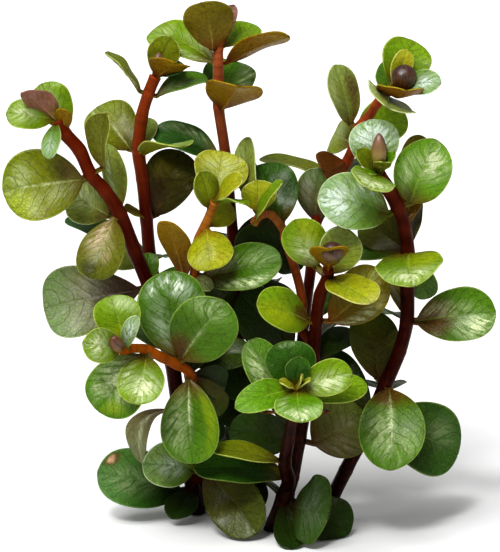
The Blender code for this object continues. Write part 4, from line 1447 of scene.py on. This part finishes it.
def front_left_shoot() -> Shoot:
    """Branches low from the far left stem and comes forward to a rosette."""
    return Shoot(
        name="front_left",
        route=(
            (-7, 7.5, 7), (-7, 6, 8.5), (-7, 3, 13.5), (-7.5, -1, 19.5), (-8.5, -4, 25),
            (-10.5, -6, 27), (-12.5, -8, 28.5), (-14.5, -9.5, 30), (-16.5, -11, 30.5),
            (-17.5, -12, 30.5), (-18.5, -13, 31),
        ),
        radii=(0.8, 0.6),
        fork=(-8.6, 9.7, 5.0),
        skin=StemColours((50, 8, 0), (110, 44, 0), (160, 86, 8), 0.1, 0.42),
        large_leaves=(
            Leaf(
                "pale_squarish", 1, (-8.5, -7, 2.5), 6.5, (-1, -9, 3), SILVER, clear=0.7,
                marks=(painted_glare(0.5, -0.1, 0.3, 0.5, 0.85), glow(0.15, 0.5, 0.3, 0.5, 0.4)),
            ),
            Leaf("to_ground", 1, (8, -9, -7.4), 8, (-2, -8, 4), BROWNISH),
            Leaf(
                "hanging", 4, (0.5, -4, -12), 8.2, (0, -9, 1), GREEN,
                marks=(
                    painted_glare(0.5, 0.5, 0.4, 0.4, 0.6), painted_glare(0.36, 0.0, 0.34, 0.07, 0.95),
                    glow(0.5, -0.75, 0.5, 0.3, 0.5), stain(0.02, 0, 0.12, 1.0, 0.6),
                ),
            ),
            Leaf(
                "glossy", 5, (-1, 2, 13), 9.8, (0, -9, 3), GLARE_GREEN,
                marks=(
                    painted_glare(0.83, 0.3, 0.13, 0.4, 1.0), painted_glare(0.9, -0.1, 0.08, 0.3, 1.0),
                    painted_glare(0.5, 0.55, 0.4, 0.3, 0.45), painted_glare(0.85, -0.6, 0.12, 0.22, 0.95),
                    painted_glare(0.4, -0.4, 0.3, 0.3, 0.4),
                ),
            ),
            Leaf(
                "round_right", 5, (7, -4, 10), 9.2, (1, -9, 2), GREEN,
                marks=(
                    stain(0.12, -0.4, 0.3, 0.7, 0.8), painted_glare(0.86, -0.3, 0.14, 0.7, 0.6),
                    painted_glare(0.45, 0.0, 0.4, 0.06, 0.5),
                ),
            ),
            Leaf(
                "glare", 7, (-1.5, -5.5, -6.5), 6.5, (0, -8, 5), LIME,
                marks=(
                    painted_glare(0.68, -0.15, 0.32, 0.7, 1.0), painted_glare(0.5, 0.7, 0.3, 0.2, 0.9),
                    stain(0.02, 0.2, 0.16, 0.8, 0.6),
                ),
            ),
            Leaf(
                "low_left", 7, (-7, -1, -8.5), 8.5, (-1, -9, 3), GREEN,
                marks=(
                    painted_glare(0.4, 0.1, 0.34, 0.8, 0.95), glow(0.82, -0.4, 0.2, 0.5, 0.5),
                    painted_glare(0.75, 0.5, 0.2, 0.3, 0.7),
                ),
            ),
            Leaf(
                "upper", 9, (-2, 3, 7), 6.5, (1, -9, 3), LIME,
                marks=(painted_glare(0.85, 0.3, 0.18, 0.6, 0.6), glow(0.2, 0, 0.25, 0.8, 0.5)),
            ),
        ),
        lesser_leaves=(
            Leaf("left", 9, (-5.5, -4, 2), 4.8, (0, -9, 3), LIME, marks=(painted_glare(0.7, 0, 0.35, 0.9, 0.9),)),
        ),
        back_leaves=(
            Leaf("behind", 4, (2, 6.5, 4), 6, (0, 3, 9), DARK),
        ),
        small_leaves=(
            Leaf("small_brown_right", 4, (4.5, 3, -6.5), 4.5, (0, -9, 3), BROWNISH),
            Leaf("small_dark_right", 4, (5, 4, -2.5), 5, (0, -9, 3), DEEP),
            Leaf(
                "small_pale", 9, (2, -3, 5.5), 2.2, (-1, -8, 3), SILVER,
                marks=(painted_glare(0.6, 0, 0.5, 1, 0.9),),
            ),
        ),
        bud=Bud((-18.5, -14.5, 32), 1.0, 1.5, (-1, -2, 3), BROWN_BUD, 0.2),
    )


def round_bud_shoot() -> Shoot:
    """Stands right of the middle, with low leaves that reach the ground."""
    return Shoot(
        name="round_bud",
        route=(
            (3.5, 2.5, 0), (5, 1.5, 5), (6, 1, 8.5), (7, 1, 14), (8, 0.5, 20), (9, 0, 26),
            (9.5, 0, 32), (10, -1, 36), (11, -3, 39), (11, -5, 40.5),
        ),
        radii=(1.3, 0.75),
        skin=StemColours((18, 0, 0), (38, 2, 0), (84, 26, 0), 0.15, 0.55),
        large_leaves=(
            Leaf(
                "fan", 1, (6.4, -8, 0.2), 10, (1, -9, 3), FAN, widest=0.7, clear=1.2,
                marks=(painted_glare(0.55, 0, 0.3, 0.7, 0.6), painted_glare(0.9, 0.4, 0.1, 0.4, 0.5)),
            ),
            Leaf("on_ground", 1, (9.5, -2, -4.5), 7.5, (0, -7, 7), DEEP, clear=1.1),
            Leaf(
                "dark_right", 3, (9.4, -2, 4.6), 9.4, (0, -9, 2), BROWNISH, clear=1.1,
                marks=(painted_glare(0.3, 0.6, 0.35, 0.4, 0.7), painted_glare(0.65, 0.0, 0.2, 0.2, 0.5)),
            ),
            Leaf(
                "yellow_left", 6, (-8.5, -6.2, 3.8), 6.5, (0, -8, 5), LIME,
                marks=(stain(0.16, 0.2, 0.25, 0.7, 0.9), glow(0.7, -0.3, 0.5, 0.8, 0.8)),
            ),
            Leaf(
                "olive_right", 6, (9.5, 0, 7), 7.5, (0, -9, 3), OLIVE, clear=1.1,
                marks=(
                    painted_glare(0.35, 0.75, 0.35, 0.2, 0.95), glow(0.8, -0.3, 0.25, 0.6, 0.5),
                    painted_glare(0.85, -0.2, 0.16, 0.4, 0.5),
                ),
            ),
            Leaf(
                "big_left", 8, (-4.8, 0.8, 8), 6.2, (0, -9, 2), LIME, clear=1.5,
                marks=(
                    painted_glare(0.36, -0.2, 0.3, 0.6, 0.8), glow(0.75, 0.4, 0.4, 0.7, 0.8),
                    stain(0.1, -0.5, 0.25, 0.5, 0.5),
                ),
            ),
        ),
        lesser_leaves=(
            Leaf("ground_front", 1, (1, -8.5, -5), 4.5, (0, -6, 7), DEEP, arch=-0.12),
            Leaf("dark_left", 3, (-10, -2, 2), 6.5, (0, -9, 3), DEEP),
            Leaf("low_left", 2, (-14, -5, 2.5), 6, (0, -6, 8), RICH),
            Leaf("small_dark", 5, (6, 6, 3), 4, (0, -6, 7), DEEP),
            Leaf(
                "top_right", 8, (2.9, 0, 6.8), 6, (0, -9, 2), PALE,
                marks=(glow(0.6, 0.7, 0.5, 0.4, 0.4),),
            ),
            Leaf(
                "yellow_edge", 8, (6, -8, -2), 6.5, (0, -4, 9), YELLOW,
                marks=(
                    stain(0.1, 0, 0.2, 1.0, 0.5), glow(0.6, 0.3, 0.5, 0.6, 0.7),
                    painted_glare(0.95, 0, 0.08, 1.0, 0.5),
                ),
            ),
            Leaf("front_cup", 9, (0, -5, 4), 5.5, (0, 6, 6), GOLDEN, cup=0.3),
        ),
        back_leaves=(
            Leaf("back_low", 1, (-5.5, 3.5, 3), 4, (0, 3, 9), DARK),
            Leaf("back_high", 6, (4, 9, 3), 5, (0, 3, 9), GREEN),
        ),
        bud=Bud((11.5, -8, 43.5), 1.6, 1.6, finish=DARK_BUD, roll=0.9),
    )


def front_rosette_shoot() -> Shoot:
    """Branches from the round-bud stem near the ground and leans towards the viewer."""
    return Shoot(
        name="front_rosette",
        route=(
            (5.5, -1.5, 9), (5, -4, 12), (5.5, -8, 16.5), (6, -11, 20.5), (6.5, -14, 24),
            (6.5, -16, 26),
        ),
        radii=(1.0, 0.7),
        skin=StemColours((18, 0, 0), (26, 0, 0), (38, 8, 0), 0.1, 0.4),
        fork=(5.6, 1.1, 6.8),
        large_leaves=(
            Leaf(
                "back", 4, (-1.5, 3, 7.5), 7, (0, -9, 2), RICH, clear=0.8,
                marks=(painted_shade(0.3, 0.1, 0.3, 0.6, 0.5), painted_glare(0.93, 0, 0.06, 0.6, 0.5)),
            ),
        ),
        lesser_leaves=(
            Leaf("narrow_left", 1, (-10.5, -2, 2.5), 4, (0, -4, 9), OLIVE_LIME),
            Leaf("under_right", 3, (4.5, -5, 2), 4, (0, 3, 9), CHESTNUT),
            Leaf("under_left", 3, (-4, -5, 2), 4, (0, 3, 9), CHESTNUT),
            Leaf(
                "back_left", 3, (-6, 3, 10.5), 5.5, (1, -9, 2), GREEN,
                marks=(painted_glare(0.6, -0.4, 0.34, 0.4, 0.8), painted_glare(0.3, 0.5, 0.2, 0.3, 0.5)),
            ),
            Leaf("low_right", 4, (9.8, 2, 1.4), 4.5, (0, -7, 7), LIME),
            Leaf(
                "right", 5, (7.5, -1, 2.6), 5, (0, -9, 4), LIME,
                marks=(painted_glare(0.5, 0.3, 0.36, 0.6, 0.95), painted_shade(0.1, 0, 0.15, 0.8, 0.4)),
            ),
            Leaf("left", 5, (-8.5, -3, -2), 4.6, (0, -8, 6), BRIGHT, widest=0.5),
            Leaf(
                "front", 5, (0.5, -5, -3.5), 6.6, (0, -8, 6), BRIGHT,
                marks=(painted_glare(0.84, 0, 0.24, 1.1, 1.0), painted_glare(0.5, 0.7, 0.3, 0.2, 0.6)),
            ),
        ),
        small_leaves=(
            Leaf("inner_back", 5, (0.3, -0.6, 4.6), 3.4, (0, -8, 3), RICH),
            Leaf("inner_left", 5, (-2.4, -1.6, 1.4), 1.6, (1, -5, 7), YELLOW),
            Leaf("inner_right", 5, (1.8, -2.2, 1.8), 1.2, (-1, -5, 7), YELLOW),
            Leaf("inner_fold", 5, (0.6, -2.6, 2.6), 1.0, (4, -5, 3), YELLOW),
        ),
    )


def right_shoot() -> Shoot:
    """The thickest stem, on the right, with the two widest pairs."""
    return Shoot(
        name="right",
        route=(
            (11, 7, 0), (12, 6, 3.5), (14, 4, 8.5), (15.5, 3, 12), (17.5, 1.5, 17), (19.5, 0, 22.5),
            (21.5, 0, 27.5), (22.5, 0, 32), (22.5, 0, 37), (22.5, 0, 42), (22, -0.5, 45.5),
            (21, -1, 48.5), (19.5, -2, 51.5), (18, -4, 54),
        ),
        radii=(1.05, 0.95),
        skin=StemColours((18, 0, 0), (40, 2, 0), (70, 16, 2), 0.15, 0.75),
        large_leaves=(
            Leaf(
                "behind_low", 4, (12.8, 2.5, -6.2), 10.4, (0, -9, 4), LOW_GREEN,
                marks=(painted_shade(0.3, 0.3, 0.4, 0.8, 0.7), painted_glare(0.7, -0.3, 0.2, 0.4, 0.2)),
            ),
            Leaf(
                "hanging", 5, (0.5, -8, -10.5), 9.4, (0, -9, 1), GREEN, arch=0.12, widest=0.57,
                marks=(
                    painted_glare(0.55, 0.02, 0.4, 0.1, 0.95), painted_glare(0.6, 0.35, 0.35, 0.4, 0.55),
                    painted_glare(0.75, -0.5, 0.25, 0.4, 0.4), stain(0.05, 0.2, 0.22, 0.9, 0.9),
                    painted_shade(0.25, 0.8, 0.3, 0.3, 0.5),
                ),
            ),
            Leaf(
                "upright", 5, (-2.4, 5, 9.6), 7, (1, -9, 1), BROWNISH, clear=0.7,
                marks=(stain(0.4, 0, 0.4, 0.5, 0.3),),
            ),
            Leaf(
                "long_right", 7, (12.5, -2, 1.6), 7.8, (0, -9, 4), GREEN,
                marks=(
                    stain(0.15, 0, 0.34, 1.1, 0.95), painted_glare(0.22, -0.5, 0.22, 0.25, 0.7),
                    painted_glare(0.78, 0.5, 0.28, 0.5, 0.95), painted_glare(0.5, -0.2, 0.3, 0.3, 0.4),
                ),
            ),
            Leaf(
                "yellow_front", 9, (0.3, -8, -3.3), 9.6, (-1, -6, 8), LIME, widest=0.48,
                marks=(painted_glare(0.8, 0.0, 0.25, 0.9, 0.95), glow(0.3, -0.4, 0.4, 0.7, 0.7)),
            ),
            Leaf(
                "big_right", 11, (5, -1, 10.1), 8, (1, -9, 2), BRIGHT, widest=0.54, clear=0.9,
                marks=(
                    painted_glare(0.7, 0.3, 0.3, 0.6, 0.95), painted_glare(0.45, -0.55, 0.3, 0.25, 0.8),
                    painted_shade(0.1, -0.3, 0.2, 0.6, 0.5),
                ),
            ),
            Leaf(
                "big_left", 11, (-11.5, -5, 2.5), 8, (0, -9, 4), SILVER, clear=0.7,
                marks=(
                    painted_glare(0.82, -0.1, 0.32, 0.9, 1.0), stain(0.08, 0, 0.22, 0.7, 0.5),
                    painted_shade(0.3, -0.4, 0.25, 0.5, 0.35), painted_glare(0.4, 0.6, 0.25, 0.3, 0.7),
                ),
            ),
        ),
        lesser_leaves=(
            Leaf("dark_blue", 4, (-7, 5.5, 8.5), 6, (0, -8, 6), DEEP),
            Leaf(
                "olive_narrow", 7, (-2.5, 4, 5), 4, (7, -7, 0), OLIVE,
                marks=(painted_glare(0.5, -0.4, 0.4, 0.3, 0.3),),
            ),
            Leaf(
                "left_behind", 9, (-9, 5, -1.5), 5.5, (0, -6, 8), GREEN,
                marks=(stain(0.3, 0, 0.3, 0.8, 0.5),),
            ),
            Leaf("dark_left", 9, (-6, 7, 3.5), 6, (0, -9, 2), BROWNISH),
            Leaf(
                "narrow_right", 9, (1.5, 7, 5.5), 4.5, (-5, -8, 0), BROWNISH,
                marks=(painted_glare(0.5, 0, 0.4, 0.8, 0.35),),
            ),
            Leaf("small_low", 9, (3.5, 4, -7.5), 4, (0, -9, 0), GREEN),
            Leaf(
                "olive_behind", 10, (2.5, 8.5, 12), 5, (0, -8, 5), OLIVE,
                marks=(painted_glare(0.6, 0.2, 0.3, 0.5, 0.3),),
            ),
            Leaf(
                "top_back", 13, (-1, 1, 7.5), 7, (0, -9, 2), SILVER,
                marks=(painted_glare(0.7, 0, 0.5, 1.2, 1.0), glow(0.3, 0.6, 0.3, 0.4, 0.5)),
            ),
            Leaf(
                "crescent", 13, (-2, -6.2, -0.9), 6.4, (1, -7, 7), LIME,
                marks=(painted_glare(0.8, 0, 0.3, 1.2, 1.0),),
            ),
        ),
        back_leaves=(
            Leaf("back_low", 5, (1, 9, -3), 6, (0, 5, 8), DARK),
            Leaf("back_mid", 7, (-3, 9, -1), 5, (0, 5, 8), GREEN),
        ),
        small_leaves=(
            Leaf("clasping_front", 13, (0.6, -3.2, 2.2), 2.4, (0, 6, 4), OLIVE_LIME),
            Leaf("clasping_right", 13, (2.2, -1.6, 3.2), 1.8, (-5, -6, 2), BRIGHT),
            Leaf("clasping_left", 13, (-2.2, -2.4, 0.6), 1.6, (1, -4, 7), BRIGHT),
            Leaf("small_cupped", 13, (-3, -1, 3.5), 2.5, (2, -8, 3), OLIVE_LIME),
        ),
        bud=Bud((18, -5.5, 57.5), 1.2, 2.5, finish=ROSE_BUD, pointed=0.6, roll=0.25),
    )


def thin_right_shoot() -> Shoot:
    """Rises at the back and crosses behind the right one's tip."""
    return Shoot(
        name="thin_right",
        route=(
            (5.5, 9, 0), (6.5, 9, 12), (7.5, 9, 25.5), (9, 8, 39), (9.5, 8, 44.5), (11.5, 7.5, 48),
            (12.5, 7, 51), (14, 6.5, 54), (15, 6, 56.5), (15.5, 5, 59), (17, 4, 61), (18, 2, 63),
            (19, 1, 64.5), (20, -1, 65.5),
        ),
        radii=(0.85, 0.65),
        skin=StemColours((40, 6, 2), (100, 30, 10), (156, 76, 36), 0.35, 0.85),
        large_leaves=(
            Leaf("large_dark", 2, (-9, -3, 9), 8, (1, -9, 2), DEEP, clear=0.7),
            Leaf(
                "upright", 9, (-3.6, -1, 9.2), 5, (4, -8, 2), PALE, clear=0.6,
                marks=(stain(0.5, 0.6, 0.45, 0.5, 0.75), painted_glare(0.6, -0.7, 0.4, 0.2, 0.5)),
            ),
        ),
        lesser_leaves=(
            Leaf(
                "pale", 4, (0.6, -2, 8.6), 5.8, (-3, -9, 1), GREY,
                marks=(stain(0.35, 0.5, 0.4, 0.5, 0.6), painted_glare(0.6, -0.5, 0.4, 0.3, 0.7)),
            ),
            Leaf("edge_on", 6, (-11, 5, 2.4), 5, (0, -0.5, 9), OLIVE_LIME),
            Leaf("brown", 7, (-3.6, -4, -0.7), 5.8, (0, 9, -3), CHESTNUT),
            Leaf("bright", 8, (7, 4, 4.5), 6.5, (0, -9, 3), LIME),
            Leaf(
                "pale_behind", 8, (-2.6, 5.5, 0.8), 5.5, (2, -9, 0), PALE,
                marks=(painted_glare(0.7, 0.3, 0.3, 0.5, 0.5), stain(0.2, 0, 0.3, 0.8, 0.5)),
            ),
            Leaf(
                "slanting", 12, (0, -9, -0.5), 8, (5, -4, 7), PALE,
                marks=(painted_glare(0.5, 0.8, 0.5, 0.25, 0.9), stain(0.3, -0.5, 0.3, 0.4, 0.4)),
            ),
            Leaf(
                "top_back", 13, (3.1, 4, 6.3), 7, (0, -9, 2), LIME,
                marks=(stain(0.15, -0.5, 0.3, 0.5, 0.4),),
            ),
            Leaf("inner", 13, (2, 0.5, 5.5), 3, (3, -9, 1), YELLOW),
            Leaf(
                "tip_right", 13, (6.5, -4, 1.5), 4, (-1, -8, 6), SILVER,
                marks=(painted_glare(0.7, 0, 0.4, 0.6, 0.95),),
            ),
            Leaf("front_cup", 13, (1.5, -8, 1), 6.5, (0, 4, 9), RUST, arch=-0.12, cup=0.35),
        ),
        back_leaves=(
            Leaf("low_back", 1, (-2, 8, 5), 5, (0, 3, 9), DARK),
            Leaf("back_right", 2, (7, 7, 3), 6, (0, 3, 9), DARK),
            Leaf("mid_right", 3, (6, 7, 4), 5.5, (0, 3, 9), GREEN),
            Leaf("mid_left", 3, (-6, 7, 3), 5.5, (0, 3, 9), GREEN),
            Leaf("high_right", 6, (7, 6, 3), 5.5, (0, 3, 9), GREEN),
            Leaf("high_back", 12, (2.5, 7, 4), 5, (0, 3, 9), GREEN),
        ),
        bud=Bud((21.5, -3, 67.5), 1.8, 1.8, finish=DARK_BUD, roll=0.9),
    )


@dataclass
class Studio:
    """A pale floor, soft lights and a camera at the photograph's angle, all placed in metres."""

    camera_place: Triple = (0.0, -0.39126, 0.12166)
    down_degrees: float = 12.0
    lens: float = 182.6
    floor_half: float = 3.0
    floor_height: float = -0.0002
    key_strength: float = 2.3
    key_angle: float = 40.0
    glint_strength: float = 1.0
    glint_angle: float = 9.0
    sky: float = 0.34

    def build(self) -> None:
        """Sets up the camera, the floor and the lights."""
        self.set_camera()
        self.lay_floor()
        self.light()
        bpy.context.scene.view_settings.view_transform = "Standard"
        bpy.context.scene.view_settings.look = "Medium High Contrast"

    def set_camera(self) -> None:
        """The camera, a long lens a little above the plant."""
        data = bpy.data.cameras.new("photo camera")
        data.lens = self.lens
        data.clip_start = 0.02
        data.clip_end = 20.0
        camera = bpy.data.objects.new("photo camera", data)
        camera.location = self.camera_place
        camera.rotation_euler = (math.radians(90 - self.down_degrees), 0, 0)
        bpy.context.scene.collection.objects.link(camera)
        bpy.context.scene.camera = camera

    def lay_floor(self) -> None:
        """The plain pale floor."""
        half = self.floor_half
        corners = [(-half, -half), (half, -half), (half, half), (-half, half)]
        mesh = bpy.data.meshes.new("floor")
        mesh.from_pydata([(x, y, self.floor_height) for x, y in corners], [], [(0, 1, 2, 3)])
        bench = Bench("pale floor")
        solid = bench.node("ShaderNodeTexCoord").outputs["Object"]
        cloud = bench.noise(solid, 6.0, 2.0)
        colour = bench.mix(cloud, (0.9, 0.9, 0.9, 1), (0.93, 0.93, 0.93, 1))
        bench.feed(bench.shader.inputs["Base Color"], colour)
        bench.shader.inputs["Roughness"].default_value = 0.9
        bench.shader.inputs["Specular IOR Level"].default_value = 0.1
        mesh.materials.append(bench.material)
        floor = bpy.data.objects.new("floor", mesh)
        bpy.context.scene.collection.objects.link(floor)

    def light(self) -> None:
        """A wide soft lamp from above and left, a narrow one for the glints, and an even pale sky."""
        self.hang_lamp("soft lamp", self.key_strength, self.key_angle, (-0.35, -0.55, 1.0))
        self.hang_lamp("glint lamp", self.glint_strength, self.glint_angle, (-0.25, -0.9, 1.0))
        world = bpy.data.worlds.new("pale sky")
        world.use_nodes = True
        sky = world.node_tree.nodes["Background"]
        sky.inputs["Color"].default_value = (1.0, 1.0, 1.0, 1.0)
        sky.inputs["Strength"].default_value = self.sky
        bpy.context.scene.world = world

    @staticmethod
    def hang_lamp(name: str, strength: float, angle: float, toward: Triple) -> None:
        """A distant lamp.

        Args:
            name: the lamp's name.
            strength: its strength.
            angle: how wide it is in degrees.
            toward: the direction in which it lies.
        """
        data = bpy.data.lights.new(name, "SUN")
        data.energy = strength
        data.angle = math.radians(angle)
        lamp = bpy.data.objects.new(name, data)
        lamp.rotation_euler = Vector(toward).to_track_quat("Z", "Y").to_euler()
        bpy.context.scene.collection.objects.link(lamp)


def report_count(counts: Iterable[int]) -> None:
    """Says how many pieces there are."""
    LOG.info("%d pieces in all", sum(counts))


def main() -> None:
    """Builds the ten shoots and the studio round them."""
    logging.basicConfig(level=logging.INFO, format="%(message)s")
    Studio().build()
    paint = LeafPaint()
    stem_paint = StemPaint()
    shoots = (
        far_left_shoot(), mid_left_shoot(), tall_shoot(), centre_left_shoot(), arching_shoot(),
        front_left_shoot(), round_bud_shoot(), front_rosette_shoot(), right_shoot(), thin_right_shoot(),
    )
    report_count(shoot.build(paint, stem_paint) for shoot in shoots)


if __name__ == "__main__":
    main()
